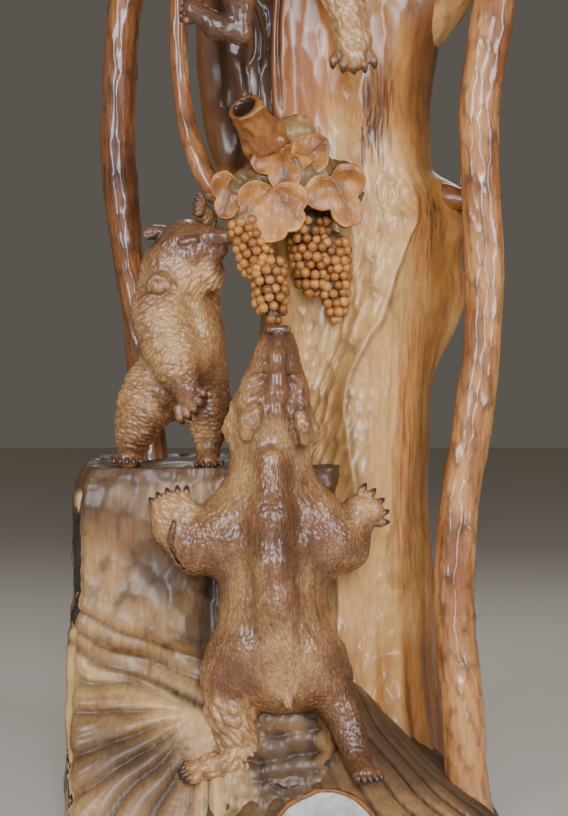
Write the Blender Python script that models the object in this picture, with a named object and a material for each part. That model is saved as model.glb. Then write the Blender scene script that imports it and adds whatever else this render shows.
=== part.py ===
"""A carved wooden bear group: three bears on a vine-clad tree trunk, cut from one log with its root base.

The whole group is one solid. Forms are laid out in the group's frame: +X to the viewer's right,
+Y away from the viewer, +Z up, with the origin in the middle of the flat underside. Metres.
"""

import math

import bmesh
import bpy
import numpy as np
from mathutils import Vector

# Sizes of the whole and of each figure, in metres.
TRUNK_TOP = 1.67
LARGE_BEAR_HEIGHT = 0.81
SMALL_BEAR_HEIGHT = 0.46
UPPER_BEAR_HEIGHT = 0.46
LEDGE_HEIGHT = 0.735
LEDGE_LEFT = -0.385
LEDGE_FRONT = -0.115
LEDGE_BACK = 0.20
BASE_HEIGHT = 0.38
BASE_LEFT = -0.415
BASE_RIGHT = 0.425
BASE_FRONT = -0.365
BASE_BACK = 0.335
LEFT_VINE_RADIUS = 0.035
RIGHT_VINE_RADIUS = 0.040
THIN_VINE_RADIUS = 0.018
GRAPE_RADIUS = 0.0098
LEAF_THICKNESS = 0.011
HOLLOW_RADIUS = 0.019
HOLLOW_DEPTH = 0.040
HOLLOW_SIDES = 12
BRANCH_END = 0.008
BRANCH_SAW_SIZE = 0.10
STUB_RADIUS = 0.112

# Where each figure's own origin stands: between the feet, or under the seat of the upper bear.
LARGE_BEAR_AT = (-0.016, -0.240, 0.192)
SMALL_BEAR_AT = (-0.217, -0.030, LEDGE_HEIGHT + 0.004)
UPPER_BEAR_AT = (0.070, 0.030, TRUNK_TOP)

# Fineness of the solid.
BODY_VOXEL = 0.0065
FRUIT_VOXEL = 0.0030
SMOOTHING_PASSES = 3
BODY_TRIANGLES = 6200
FRUIT_TRIANGLES = 2800
SPHERE_FINENESS = 2
FULLNESS = 1.06
CUT_MARGIN = 0.30

# Each figure is a set of limbs. A limb is a chain of ((x, y, z), radius), in hundredths of its height.
LARGE_BEAR = {
    "hips": [((0.2, 9.5, 27.0), 10.6), ((0.2, 9.0, 22.0), 10.0)],
    "back": [((0.0, 10, 27.0), 11.5), ((-0.9, 12, 37), 11.2), ((-0.7, 13.0, 50), 12.4), ((-1, 14.0, 61), 10.4),
             ((-1, 14.0, 71.5), 8.8), ((-1.0, 13.6, 77.5), 8.9)],
    "withers": [((-0.9, 8.6, 50.0), 6.8), ((-0.9, 8.6, 58.0), 5.8), ((-0.9, 10.0, 66.0), 4.6)],
    "head": [((-1.0, 13.6, 77.5), 8.9), ((-0.8, 13.2, 83.0), 7.6), ((-0.3, 13.6, 87.0), 5.4), ((0.3, 15.2, 92.6), 3.6),
             ((0.6, 16, 96.4), 2.6)],
    "snout": [((0.2, 7.4, 85.5), 2.6), ((0.5, 10.4, 92.6), 1.7), ((0.7, 12.0, 98.0), 1.6)],
    "left_lip": [((-3.2, 14.0, 88.0), 3.1), ((-1.1, 15.4, 96.0), 2.0)],
    "right_lip": [((3.2, 14.0, 88.0), 2.9), ((2.3, 15.4, 96.0), 2.0)],
    "left_cheek": [((-6.6, 12.4, 84.0), 3.0), ((-8.6, 13.2, 76.2), 3.1), ((-7.4, 12.0, 71.4), 2.4)],
    "right_cheek": [((5.6, 12.4, 83.0), 3.0), ((7.2, 13.2, 75.4), 2.9), ((6.0, 12.0, 70.6), 2.2)],
    "left_ear": [((-6.4, 5.4, 75.4), 2.1), ((-5.6, 4.2, 78.6), 2.4), ((-4.8, 4.4, 80.6), 1.8)],
    "right_ear": [((6.2, 5.8, 74.4), 1.8), ((6.2, 4.6, 77.4), 2.0), ((5.8, 4.8, 79.2), 1.6)],
    "left_arm": [((-8.0, 13.0, 55.6), 8.6), ((-13.0, 12.4, 51.6), 7.7), ((-18.2, 12.2, 49.6), 6.1), ((-22.6, 12.2, 53.6), 4.9),
                 ((-24.2, 12.4, 57.0), 4.0)],
    "left_paw": [((-20.0, 11.6, 57.4), 3.4), ((-23.0, 11.2, 58.4), 3.8), ((-25.2, 11.8, 58.2), 3.2)],
    "right_arm": [((8.0, 13.0, 55.6), 8.4), ((12.6, 13.6, 50.4), 7.3), ((15.6, 14.6, 49.8), 6.0), ((18.4, 15.6, 55.4), 4.1),
                  ((21.4, 15.6, 57.4), 3.3)],
    "left_leg": [((-7.6, 9, 24.0), 9.2), ((-9.2, 8.5, 20.8), 8.3), ((-9.6, 6.5, 13.6), 6.1), ((-8.8, 5.6, 8.0), 5.0),
                 ((-7.4, 5, 4.0), 4.4)],
    "left_foot": [((-8.0, 4, 3.4), 3.6), ((-14.0, 1.0, 2.4), 3.0), ((-18.0, -0.6, 1.8), 2.2)],
    "right_leg": [((8.2, 10, 24.0), 8.8), ((9.6, 9.5, 20.6), 8.0), ((14.2, 8, 14.0), 4.5), ((16.8, 6, 8.0), 3.6),
                  ((18.0, 4, 4.4), 3.4)],
    "right_foot": [((18.2, 3, 3.2), 3.0), ((19.8, -3, 1.6), 2.5)],
    "tail": [((2.6, 1.4, 20.5), 2.4), ((3.0, -0.6, 16.2), 1.2)],
}
SMALL_BEAR = {
    "body": [((1.5, 7, 31), 15.2), ((5.0, 6.5, 40.5), 16.8), ((4.6, 6.5, 52), 17.0), ((3.0, 5, 64), 14.6)],
    "neck": [((-0.4, 4, 66), 12.8), ((0.6, 1, 76), 12.6)],
    "head": [((3.0, 0, 80.0), 12.6), ((7.6, -1, 87.0), 11.0), ((11.6, -1, 91.0), 5.8), ((17.0, -2.0, 91.8), 3.4),
             ((23.6, -2.4, 92.2), 2.6)],
    "jaw": [((7.6, -1, 75.6), 11.8), ((12.6, 0, 75.8), 8.2)],
    "chin": [((12.6, -1, 81.0), 6.6), ((18.4, -1, 84.6), 3.4), ((21.4, -1, 85.8), 2.0)],
    "far_ear": [((-2.6, -1, 94.4), 2.5), ((-6.0, -2, 93.8), 2.9), ((-8.0, -3, 92.8), 2.4)],
    "near_ear": [((-1.0, -12.4, 74.6), 3.8), ((-3.0, -14.6, 72.6), 3.6)],
    "near_arm": [((-3.6, -3, 62), 12.6), ((-2.0, -6, 56.5), 11.8), ((1.0, -9, 48), 10.6), ((4.0, -11.5, 39), 8.4),
                 ((8.0, -13.5, 30.5), 5.6), ((8.6, -14, 26.6), 4.5)],
    "far_arm": [((14, 10, 64), 9.0), ((17.5, 14, 80), 6.5), ((14.6, 9, 99.5), 4.6), ((13.0, 6, 104.5), 4.4)],
    "left_leg": [((-6.4, 3, 31), 12.2), ((-9.6, 0, 23.0), 11.4), ((-13.4, 0, 14.5), 8.6), ((-15.2, 2, 8.0), 6.2),
                 ((-15.7, 2, 4.0), 5.4)],
    "left_foot": [((-16.0, 1, 3.0), 5.2), ((-16.2, -8, 1.8), 4.4)],
    "right_leg": [((12.6, 5, 33), 12.2), ((15.6, 3, 22.5), 10.0), ((16.2, 3, 12.6), 6.6), ((15.9, 2, 5.0), 5.0)],
    "right_foot": [((16.0, 1, 2.0), 4.8), ((16.8, -9, 0.8), 4.2)],
}
UPPER_BEAR = {
    "seat": [((-18, 14, -1), 17), ((16, 14, -1), 17)],
    "body": [((0, 6, 14), 17), ((0, 3, 30), 18), ((0, 4, 48), 16), ((-1, 0, 62), 12)],
    "head": [((-2, -4, 74), 12), ((-3, -12, 71), 8.5), ((-3.4, -19, 67), 5.0), ((-3.6, -22.5, 65.5), 4.0)],
    "left_ear": [((-11, -1, 82), 3.4), ((-12.6, -2, 84.6), 3.2)],
    "right_ear": [((7, -1, 82), 3.4), ((8.6, -2, 84.6), 3.2)],
    "left_arm": [((-12, 1, 54), 9.5), ((-22, -12, 36), 7.2), ((-26, -24, 21), 5.4)],
    "right_arm": [((12, 1, 54), 9.5), ((21, -12, 36), 7.2), ((15, -25, 24), 5.6)],
    "left_leg": [((-12, -6, 10), 12.5), ((-27, -30, 8), 9.6), ((-33, -28, -12), 7.0), ((-33, -27, -30), 5.0)],
    "left_foot": [((-32.6, -28, -31), 4.6), ((-42, -28, -28), 5.4), ((-51, -27, -21.5), 4.4)],
    "right_leg": [((13, -8, 10), 12.5), ((6, -28, -8), 10.2), ((12, -31, -34), 6.6), ((12, -32, -41), 6.0)],
}

# Where each paw fans into toes: (figure, centre of the knuckles, way the toes point, way they spread,
# half the spread, length and radius of a toe, how far they fan), in the same hundredths.
PAWS = [
    ("large", (-23.4, 10.4, 60.6), (-0.35, -0.20, 0.92), (0.95, 0.0, 0.3), 3.6, 2.6, 1.10, 0.5),
    ("large", (22.0, 16.4, 58.8), (0.80, -0.10, 0.55), (0.50, 0.0, -0.82), 3.9, 3.0, 1.15, 0.55),
    ("large", (-18.4, -1.2, 1.7), (-0.95, -0.3, -0.1), (0.15, -0.95, -0.3), 2.6, 2.6, 1.20, 0.2),
    ("large", (20.2, -3.2, 1.4), (0.3, -0.95, -0.2), (0.95, 0.3, 0.0), 2.4, 2.4, 1.20, 0.2),
    ("small", (9.2, -15.0, 23.6), (0.30, -0.25, -0.92), (0.66, 0.0, 0.72), 5.4, 4.6, 1.80, 0.0),
    ("small", (12.6, 3.0, 105.0), (-0.85, -0.45, 0.2), (0.2, 0.1, 0.97), 4.0, 2.4, 1.5, 0.2),
    ("small", (-16.2, -9.6, 1.8), (0.0, -1.0, -0.2), (1.0, 0.0, 0.0), 5.2, 3.0, 1.7, 0.1),
    ("small", (16.8, -10.4, 0.6), (0.1, -1.0, -0.2), (1.0, 0.1, 0.0), 4.8, 3.0, 1.6, 0.1),
    ("upper", (-51.5, -27.0, -21.0), (-0.9, -0.1, 0.3), (0.3, 0.1, 0.9), 5.0, 3.4, 1.9, 0.2),
    ("upper", (12.0, -33.0, -44.0), (0.05, -0.25, -0.97), (1.0, 0.0, 0.0), 8.0, 4.4, 2.3, 0.15),
    ("upper", (-26.6, -26.0, 18.6), (-0.2, -0.85, -0.5), (0.95, -0.2, 0.1), 4.6, 3.2, 1.9, 0.2),
    ("upper", (14.6, -27.0, 22.0), (-0.1, -0.85, -0.5), (0.95, 0.1, 0.0), 4.6, 3.2, 1.9, 0.2),
]
TOES = 5
TOE_ROOT_SPREAD = 0.8
CLAW_SHARE = 0.70

# The trunk: (height, centre x, centre y, half width, half depth).
TRUNK_SECTIONS = [
    (-0.02, 0.085, 0.120, 0.250, 0.215), (0.12, 0.090, 0.122, 0.232, 0.200), (0.25, 0.096, 0.125, 0.215, 0.190),
    (0.45, 0.103, 0.135, 0.198, 0.182), (0.65, 0.108, 0.145, 0.182, 0.178), (0.95, 0.121, 0.150, 0.170, 0.176),
    (1.17, 0.116, 0.155, 0.176, 0.178), (1.30, 0.075, 0.165, 0.216, 0.182), (1.50, 0.062, 0.165, 0.236, 0.186),
    (TRUNK_TOP, 0.066, 0.165, 0.238, 0.188),
]
# Forms on the trunk: (turn round the axis in degrees from +X, height, depth, angular width, height spread,
# and how sharply the form ends: 2 for a soft swell, more for a flat-bottomed hollow with an edge).
TRUNK_FORMS = {
    "left_hollow": (212, 1.49, -0.070, 28, 0.190, 6),
    "hollow_lip": (246, 1.47, 0.014, 7, 0.190, 2),
    "front_scoop": (262, 1.05, -0.026, 22, 0.210, 2),
    "burl_top": (-4, 1.10, 0.058, 24, 0.085, 2),
    "burl_foot": (-2, 1.00, 0.044, 22, 0.085, 2),
    "upper_flare": (-12, 1.67, 0.075, 20, 0.085, 2),
    "paw_shelf": (-68, 1.42, 0.012, 14, 0.060, 2),
}
# The long crest down the front of the trunk: (height, turn in degrees), how far it stands out, how fast it
# falls away on its steep left side and on its right, and the heights between which it fades in and out.
CREST_COURSE = [(0.50, -84), (0.65, -84), (0.92, -87), (1.003, -74), (1.115, -62), (1.216, -44), (1.36, -40), (1.55, -36)]
CREST_RISE = 0.017
CREST_LEFT_WIDTH = 7
CREST_RIGHT_WIDTH = 20
CREST_FOOT = (0.45, 0.62)
CREST_HEAD = (1.18, 1.34)
TRUNK_CROWN = [(0.93, 0.013), (0.80, 0.012), (0.50, 0.010)]
TRUNK_RINGS = 70
TRUNK_SIDES = 96

# Vines: (x, y, z) along each one, and the radius as a share of the vine's own.
LEFT_VINE = [
    ((-0.262, 0.120, 0.690), 1.15), ((-0.268, 0.125, 0.790), 0.98), ((-0.284, 0.135, 0.980), 0.95),
    ((-0.310, 0.145, 1.140), 0.98), ((-0.327, 0.150, 1.300), 1.03), ((-0.325, 0.150, 1.435), 1.05),
    ((-0.311, 0.150, 1.627), 1.00), ((-0.270, 0.160, 1.740), 0.98), ((-0.170, 0.185, 1.820), 0.95),
    ((-0.030, 0.215, 1.800), 0.95),
]
THIN_VINE = [
    ((-0.070, -0.045, 1.168), 0.72), ((-0.098, -0.040, 1.208), 0.82), ((-0.131, -0.022, 1.250), 0.98),
    ((-0.160, 0.000, 1.305), 1.12), ((-0.184, 0.022, 1.380), 1.08), ((-0.198, 0.040, 1.480), 0.98),
    ((-0.201, 0.045, 1.610), 1.02), ((-0.185, 0.042, 1.750), 1.00), ((-0.150, 0.032, 1.850), 0.95),
    ((-0.090, 0.060, 1.940), 0.80),
]
RIGHT_VINE = [
    ((0.352, -0.085, 0.070), 1.25), ((0.342, -0.085, 0.160), 1.08), ((0.335, -0.075, 0.280), 1.00),
    ((0.325, -0.060, 0.410), 0.96), ((0.322, -0.045, 0.530), 0.95), ((0.335, -0.030, 0.670), 0.92),
    ((0.358, -0.020, 0.810), 0.94), ((0.376, -0.010, 0.980), 0.95), ((0.377, 0.000, 1.140), 0.96),
    ((0.369, 0.000, 1.300), 0.94), ((0.368, 0.000, 1.420), 0.95), ((0.392, 0.010, 1.570), 1.08),
    ((0.412, 0.030, 1.690), 1.02), ((0.405, 0.055, 1.810), 0.85),
]
RIGHT_FORK = [((0.200, 0.150, 1.530), 1.9), ((0.300, 0.110, 1.630), 1.6), ((0.395, 0.055, 1.740), 1.15)]
TOP_SNAG = [((0.060, 0.215, 1.550), 3.4), ((0.050, 0.225, 1.750), 2.3), ((0.035, 0.225, 1.860), 1.4)]
LEAF_BACKING = [((-0.130, -0.020, 1.240), 0.022), ((-0.060, -0.045, 1.245), 0.042), ((0.030, -0.030, 1.265), 0.062),
                ((0.100, -0.020, 1.255), 0.056)]
BUNCH_STALK = [((-0.030, -0.060, 1.230), 0.045), ((-0.070, -0.070, 1.175), 0.034), ((-0.046, -0.088, 1.100), 0.022),
               ((-0.018, -0.110, 1.025), 0.016)]
CUT_BRANCH = [((0.040, -0.010, 1.350), 0.034), ((-0.030, -0.080, 1.375), 0.033), ((-0.072, -0.120, 1.392), 0.032)]

# The left block under the small bear: (height, left, right, front, back).
BLOCK_SECTIONS = [
    (-0.02, -0.400, 0.100, -0.335, 0.240), (0.08, -0.405, 0.100, -0.305, 0.238), (0.20, -0.408, 0.100, -0.245, 0.234),
    (0.30, -0.411, 0.100, -0.185, 0.228), (0.385, -0.412, 0.100, -0.128, 0.222), (0.415, -0.408, 0.100, -0.136, 0.216),
    (0.55, -0.398, 0.100, -0.118, 0.210),
    (LEDGE_HEIGHT - 0.03, LEDGE_LEFT, 0.10, LEDGE_FRONT, LEDGE_BACK),
    (LEDGE_HEIGHT, LEDGE_LEFT + 0.012, 0.10, LEDGE_FRONT + 0.012, LEDGE_BACK - 0.012),
]
BLOCK_SQUARENESS = 5.0
BLOCK_SIDES = 72

# The root base: how its outline draws in with height, as (share of the height, share of the reach).
BASE_PROFILE = [(0.0, 1.0), (0.12, 0.985), (0.26, 0.91), (0.42, 0.73), (0.62, 0.52), (0.82, 0.43), (1.0, 0.39)]
BASE_SQUARENESS = 2.9
BASE_FLUTES = 34
FLUTE_DEPTH = 0.016
BASE_SIDES = 204
BASE_RINGS = 26
ROOT_STUB = [((0.078, -0.180, 0.045), 0.90), ((0.070, -0.405, 0.125), 1.0)]
STUB_FACE_AT = (0.071, -0.335, 0.098)
STUB_FACE_TILT = 36
STUB_FACE_SIZE = 0.40

# Grape bunches: (top, foot, half width at the top, half width near the foot).
BUNCHES = [
    ((-0.078, -0.075, 1.175), (-0.040, -0.092, 1.080), 0.034, 0.026),
    ((-0.030, -0.085, 1.100), (-0.018, -0.118, 1.008), 0.030, 0.022),
    ((0.046, -0.030, 1.190), (0.050, -0.032, 1.060), 0.034, 0.026),
    ((0.092, -0.026, 1.140), (0.098, -0.028, 1.008), 0.028, 0.016),
]
GRAPE_SPACING = 1.72
GRAPE_SIDES = 1
HIDDEN_SIDE = 0.45

# Leaves: (centre of the blade, way the tip points, way the blade faces, length in metres).
LEAVES = [
    ((-0.004, -0.080, 1.292), (0.15, -0.30, -1.0), (0.0, -1.0, 0.30), 0.100),
    ((0.052, -0.084, 1.312), (0.70, 0.0, 0.72), (0.1, -1.0, 0.1), 0.078),
    ((-0.024, -0.098, 1.216), (-0.05, -0.15, -1.0), (-0.05, -1.0, 0.15), 0.126),
    ((-0.098, -0.068, 1.240), (-0.30, -0.05, -0.95), (-0.35, -1.0, 0.1), 0.096),
    ((0.102, -0.078, 1.238), (0.45, -0.05, -0.90), (0.25, -1.0, 0.12), 0.126),
]
LEAF_LOBES = 5
LEAF_SIDES = 26
LEAF_DISH = 0.16

WOOD_COLOUR = (0.36, 0.17, 0.07, 1.0)
WOOD_ROUGHNESS = 0.35


def clear_scene():
    for obj in list(bpy.data.objects):
        bpy.data.objects.remove(obj)


def smooth_table(rows, at):
    """Each column of rows, whose first column is the key, read at the keys in `at` with eased steps between rows."""
    table = np.array(rows, float)
    at = np.asarray(at, float)
    index = np.clip(np.searchsorted(table[:, 0], at) - 1, 0, len(table) - 2)
    span = table[index + 1, 0] - table[index, 0]
    share = np.clip((at - table[index, 0]) / span, 0, 1)
    slopes = np.gradient(table[:, 1:], table[:, 0], axis=0)
    low, high = table[index, 1:], table[index + 1, 1:]
    share, span = share[..., None], span[..., None]
    return (
        low * (1 + 2 * share) * (1 - share) ** 2
        + high * share**2 * (3 - 2 * share)
        + slopes[index] * span * share * (1 - share) ** 2
        + slopes[index + 1] * span * share**2 * (share - 1)
    )


def sphere_points(fineness):
    ball = bmesh.new()
    bmesh.ops.create_icosphere(ball, subdivisions=round(fineness), radius=1.0)
    points = np.array([vertex.co for vertex in ball.verts])
    ball.free()
    return points


def add_hull(mesh, points):
    """A convex body round the points."""
    hull = bmesh.new()
    for point in points:
        hull.verts.new(point)
    made = bmesh.ops.convex_hull(hull, input=hull.verts[:])
    unused = {item for key in ("geom_interior", "geom_unused") for item in made[key]}
    bmesh.ops.delete(hull, geom=[item for item in unused if isinstance(item, bmesh.types.BMVert)], context="VERTS")
    bmesh.ops.recalc_face_normals(hull, faces=hull.faces[:])
    body = bpy.data.meshes.new("hull")
    hull.to_mesh(body)
    hull.free()
    mesh.from_mesh(body)
    bpy.data.meshes.remove(body)


def add_limb(mesh, chain, fineness=SPHERE_FINENESS):
    """Round bodies that run from each ball of the chain to the next."""
    ball = sphere_points(fineness)
    for (start, start_radius), (end, end_radius) in zip(chain, chain[1:]):
        start_ball = ball * start_radius + np.array(start)
        end_ball = ball * end_radius + np.array(end)
        add_hull(mesh, np.concatenate([start_ball, end_ball]))


def placed(chain, origin, height):
    unit = height / 100
    return [(np.array(origin) + unit * np.array(point), radius * unit * FULLNESS) for point, radius in chain]


FIGURES = {
    "large": (LARGE_BEAR, LARGE_BEAR_AT, LARGE_BEAR_HEIGHT),
    "small": (SMALL_BEAR, SMALL_BEAR_AT, SMALL_BEAR_HEIGHT),
    "upper": (UPPER_BEAR, UPPER_BEAR_AT, UPPER_BEAR_HEIGHT),
}


def add_bear(mesh, figure):
    limbs, origin, height = FIGURES[figure]
    for chain in limbs.values():
        add_limb(mesh, placed(chain, origin, height))


def add_paw(mesh, figure, centre, ahead, across, half_spread, length, radius, fan):
    """Toes side by side, each a short round body that tapers into its claw."""
    _, origin, height = FIGURES[figure]
    ahead = Vector(ahead).normalized()
    across = Vector(across).normalized()
    for toe in range(TOES):
        side = 2 * toe / (TOES - 1) - 1
        way = (ahead + across * side * fan).normalized()
        root = Vector(centre) + across * side * half_spread * TOE_ROOT_SPREAD - way * length * 0.5
        knuckle = Vector(centre) + across * side * half_spread + way * length * (0.35 - 0.3 * side * side)
        tip = knuckle + way * length * CLAW_SHARE
        chain = [(root, radius * 1.1), (knuckle, radius), (tip, radius * 0.35)]
        add_limb(mesh, placed(chain, origin, height), fineness=1)


def add_rings(mesh, rings):
    """A closed body through rings of points, from the lowest to the highest."""
    loops = [[mesh.verts.new(point) for point in ring] for ring in rings]
    count = len(loops[0])
    for low, high in zip(loops, loops[1:]):
        for i in range(count):
            j = (i + 1) % count
            mesh.faces.new((low[i], low[j], high[j], high[i]))
    mesh.faces.new(loops[0][::-1])
    mesh.faces.new(loops[-1])


def eased_step(between, values):
    share = np.clip((values - between[0]) / (between[1] - between[0]), 0, 1)
    return share * share * (3 - 2 * share)


def trunk_reach(turn, height, half_width, half_depth):
    """How far the trunk reaches from its axis: an ellipse, plus a rounded hump or hollow for each form."""
    cos, sin = np.cos(np.radians(turn)), np.sin(np.radians(turn))
    reach = 1 / np.sqrt((cos / half_width) ** 2 + (sin / half_depth) ** 2)
    for at_turn, at_height, rise, width, spread, edge in TRUNK_FORMS.values():
        off = (turn - at_turn + 180) % 360 - 180
        reach = reach + rise * np.exp(-(np.abs(off / width) ** edge) - np.abs((height - at_height) / spread) ** edge)
    crest_turn = smooth_table(CREST_COURSE, np.clip(height, CREST_COURSE[0][0], CREST_COURSE[-1][0]))[..., 0]
    off = (turn - crest_turn + 180) % 360 - 180
    ends = eased_step(CREST_FOOT, height) * (1 - eased_step(CREST_HEAD, height))
    return reach + CREST_RISE * ends * np.exp(-np.abs(off) / np.where(off < 0, CREST_LEFT_WIDTH, CREST_RIGHT_WIDTH))


def add_trunk(mesh):
    turns = np.arange(TRUNK_SIDES) * 360 / TRUNK_SIDES
    rings = []
    for height in np.linspace(TRUNK_SECTIONS[0][0], TRUNK_SECTIONS[-1][0], TRUNK_RINGS):
        x, y, half_width, half_depth = smooth_table(TRUNK_SECTIONS, height)
        reach = trunk_reach(turns, np.full(TRUNK_SIDES, height), half_width, half_depth)
        ring = np.stack([x + reach * np.cos(np.radians(turns)), y + reach * np.sin(np.radians(turns)),
                         np.full(TRUNK_SIDES, height)], axis=1)
        rings.append(ring)
    for shrink, rise in TRUNK_CROWN:
        middle = rings[-1].mean(axis=0)
        rings.append(middle + (rings[-1] - middle) * shrink + np.array((0, 0, rise)))
    add_rings(mesh, rings)


def squared_ring(turns, left, right, front, back, squareness):
    """A ring between four sides whose corners are rounder the lower the squareness."""
    cos, sin = np.cos(np.radians(turns)), np.sin(np.radians(turns))
    reach = (np.abs(cos) ** squareness + np.abs(sin) ** squareness) ** (-1 / squareness)
    x = (left + right) / 2 + (right - left) / 2 * reach * cos
    y = (front + back) / 2 + (back - front) / 2 * reach * sin
    return x, y


def add_block(mesh):
    turns = np.arange(BLOCK_SIDES) * 360 / BLOCK_SIDES
    heights = np.unique(np.concatenate([np.linspace(BLOCK_SECTIONS[0][0], BLOCK_SECTIONS[-1][0], 24),
                                        [row[0] for row in BLOCK_SECTIONS]]))
    rings = []
    for height in heights:
        x, y = squared_ring(turns, *smooth_table(BLOCK_SECTIONS, height), BLOCK_SQUARENESS)
        rings.append(np.stack([x, y, np.full(BLOCK_SIDES, height)], axis=1))
    add_rings(mesh, rings)


def add_base(mesh):
    """The root base: its outline draws in with height, and hollow flutes run down it."""
    turns = np.arange(BASE_SIDES) * 360 / BASE_SIDES
    flutes = np.abs(np.sin(np.radians(turns) * BASE_FLUTES / 2))
    rings = []
    for share in np.linspace(0, 1, BASE_RINGS):
        (draw,) = smooth_table(BASE_PROFILE, share)
        x, y = squared_ring(turns, BASE_LEFT, BASE_RIGHT, BASE_FRONT, BASE_BACK, BASE_SQUARENESS)
        hollow = FLUTE_DEPTH * (flutes - 0.5) * np.sin(math.pi * min(1.0, share + 0.15))
        scale = draw + hollow / np.hypot(x, y)
        ring = np.stack([x * scale, y * scale, np.full(BASE_SIDES, share * BASE_HEIGHT - 0.02)], axis=1)
        rings.append(ring)
    add_rings(mesh, rings)


def vine(points, radius):
    return [(np.array(point), radius * share) for point, share in points]


def add_bunch(mesh, top, foot, top_width, foot_width):
    """Grapes laid in rings round a tapering core, each ring turned half a grape from the last."""
    top, foot = Vector(top), Vector(foot)
    axis = foot - top
    step = GRAPE_RADIUS * GRAPE_SPACING
    rows = max(2, round(axis.length / step))
    side = axis.cross(Vector((0, 1, 0))).normalized()
    out = axis.cross(side).normalized()
    sunk = 0.4 * GRAPE_RADIUS
    add_limb(mesh, [(top, top_width - sunk), (top + 0.85 * axis, foot_width - sunk)])
    for row in range(rows + 1):
        share = row / rows
        width = top_width + (foot_width - top_width) * share
        width *= math.sqrt(max(0.08, 1 - max(0.0, share - 0.7) ** 2 / 0.1))
        count = max(3, round(2 * math.pi * width / (2 * GRAPE_RADIUS)))
        for i in range(count):
            turn = 2 * math.pi * (i + 0.5 * (row % 2)) / count
            if (side * math.cos(turn) + out * math.sin(turn)).y > HIDDEN_SIDE:
                continue
            centre = top + axis * share + (side * math.cos(turn) + out * math.sin(turn)) * width
            add_limb(mesh, [(centre, GRAPE_RADIUS), (centre, GRAPE_RADIUS)], fineness=GRAPE_SIDES)


def leaf_outline(turn):
    """How far a vine leaf's edge lies from its middle, with a lobe for each vein and a notch at the stalk."""
    lobes = 0.89 + 0.11 * np.cos(LEAF_LOBES * turn)
    notch = 1 - 0.40 * np.exp(-(((np.abs(turn) - math.pi) / 0.28) ** 2))
    return lobes * notch


def add_leaf(mesh, centre, tip, face, length):
    """A lobed blade with a small thickness, dished about its middle vein."""
    along = Vector(tip).normalized()
    out = (Vector(face) - Vector(face).dot(along) * along).normalized()
    across = out.cross(along)
    turns = np.linspace(-math.pi, math.pi, LEAF_SIDES, endpoint=False)
    reach = leaf_outline(turns) * length / 2
    rings = []
    for level, share in ((-1, 0.5), (-1, 1.0), (1, 1.0), (1, 0.5)):
        ring = []
        for turn, far in zip(turns, reach):
            u, v = math.cos(turn) * far * share, math.sin(turn) * far * share
            dish = -LEAF_DISH * (u * u + v * v) / length * 2
            ring.append(Vector(centre) + along * u + across * v + out * (dish + level * LEAF_THICKNESS / 2))
        rings.append(ring)
    add_rings(mesh, rings)


def new_object(name, mesh):
    bmesh.ops.recalc_face_normals(mesh, faces=mesh.faces[:])
    data = bpy.data.meshes.new(name)
    mesh.to_mesh(data)
    mesh.free()
    obj = bpy.data.objects.new(name, data)
    bpy.context.scene.collection.objects.link(obj)
    return obj


def hide_helper(obj):
    obj.hide_render = True
    obj.display_type = "WIRE"


def add_one_skin(obj, voxel, triangles):
    """Fuses the object's overlapping forms into one softened skin of about this many triangles."""
    remesh = obj.modifiers.new("one_skin", "REMESH")
    remesh.mode = "VOXEL"
    remesh.voxel_size = voxel
    smooth = obj.modifiers.new("soften", "SMOOTH")
    smooth.iterations = SMOOTHING_PASSES
    evaluated = obj.evaluated_get(bpy.context.evaluated_depsgraph_get())
    skin_triangles = 2 * len(evaluated.to_mesh().polygons)
    evaluated.to_mesh_clear()
    thin = obj.modifiers.new("thin_out", "DECIMATE")
    thin.ratio = triangles / skin_triangles


def carved_body():
    mesh = bmesh.new()
    add_trunk(mesh)
    add_block(mesh)
    add_base(mesh)
    for figure in FIGURES:
        add_bear(mesh, figure)
    for paw in PAWS:
        add_paw(mesh, *paw)
    add_limb(mesh, vine(LEFT_VINE, LEFT_VINE_RADIUS))
    add_limb(mesh, vine(THIN_VINE, THIN_VINE_RADIUS))
    add_limb(mesh, vine(RIGHT_VINE, RIGHT_VINE_RADIUS))
    add_limb(mesh, vine(RIGHT_FORK, RIGHT_VINE_RADIUS))
    add_limb(mesh, vine(TOP_SNAG, LEFT_VINE_RADIUS))
    add_limb(mesh, vine(CUT_BRANCH, 1.0))
    add_limb(mesh, vine(ROOT_STUB, STUB_RADIUS))
    body = new_object("bear_group_carving", mesh)
    add_one_skin(body, BODY_VOXEL, BODY_TRIANGLES)
    return body


def join_fruit_and_leaves(body):
    """The small forms keep finer faces than the body, so they are skinned apart and then fused with it."""
    mesh = bmesh.new()
    add_limb(mesh, vine(LEAF_BACKING, 1.0))
    add_limb(mesh, vine(BUNCH_STALK, 1.0))
    for bunch in BUNCHES:
        add_bunch(mesh, *bunch)
    for leaf in LEAVES:
        add_leaf(mesh, *leaf)
    fruit = new_object("fruit_and_leaves", mesh)
    add_one_skin(fruit, FRUIT_VOXEL, FRUIT_TRIANGLES)
    hide_helper(fruit)
    union = body.modifiers.new("fruit_and_leaves", "BOOLEAN")
    union.operation = "UNION"
    union.object = fruit


def cut_flat_underside(body):
    """Takes everything below the ground plane away, so that the group stands on one flat face."""
    mesh = bmesh.new()
    bmesh.ops.create_cube(mesh, size=1.0)
    width = BASE_RIGHT - BASE_LEFT + 2 * CUT_MARGIN
    depth = BASE_BACK - BASE_FRONT + 2 * CUT_MARGIN
    bmesh.ops.scale(mesh, vec=(width, depth, CUT_MARGIN), verts=mesh.verts[:])
    cutter = new_object("ground_cutter", mesh)
    cutter.location = ((BASE_LEFT + BASE_RIGHT) / 2, (BASE_FRONT + BASE_BACK) / 2, -CUT_MARGIN / 2)
    hide_helper(cutter)
    take_away(body, cutter, "flat_underside")


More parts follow.
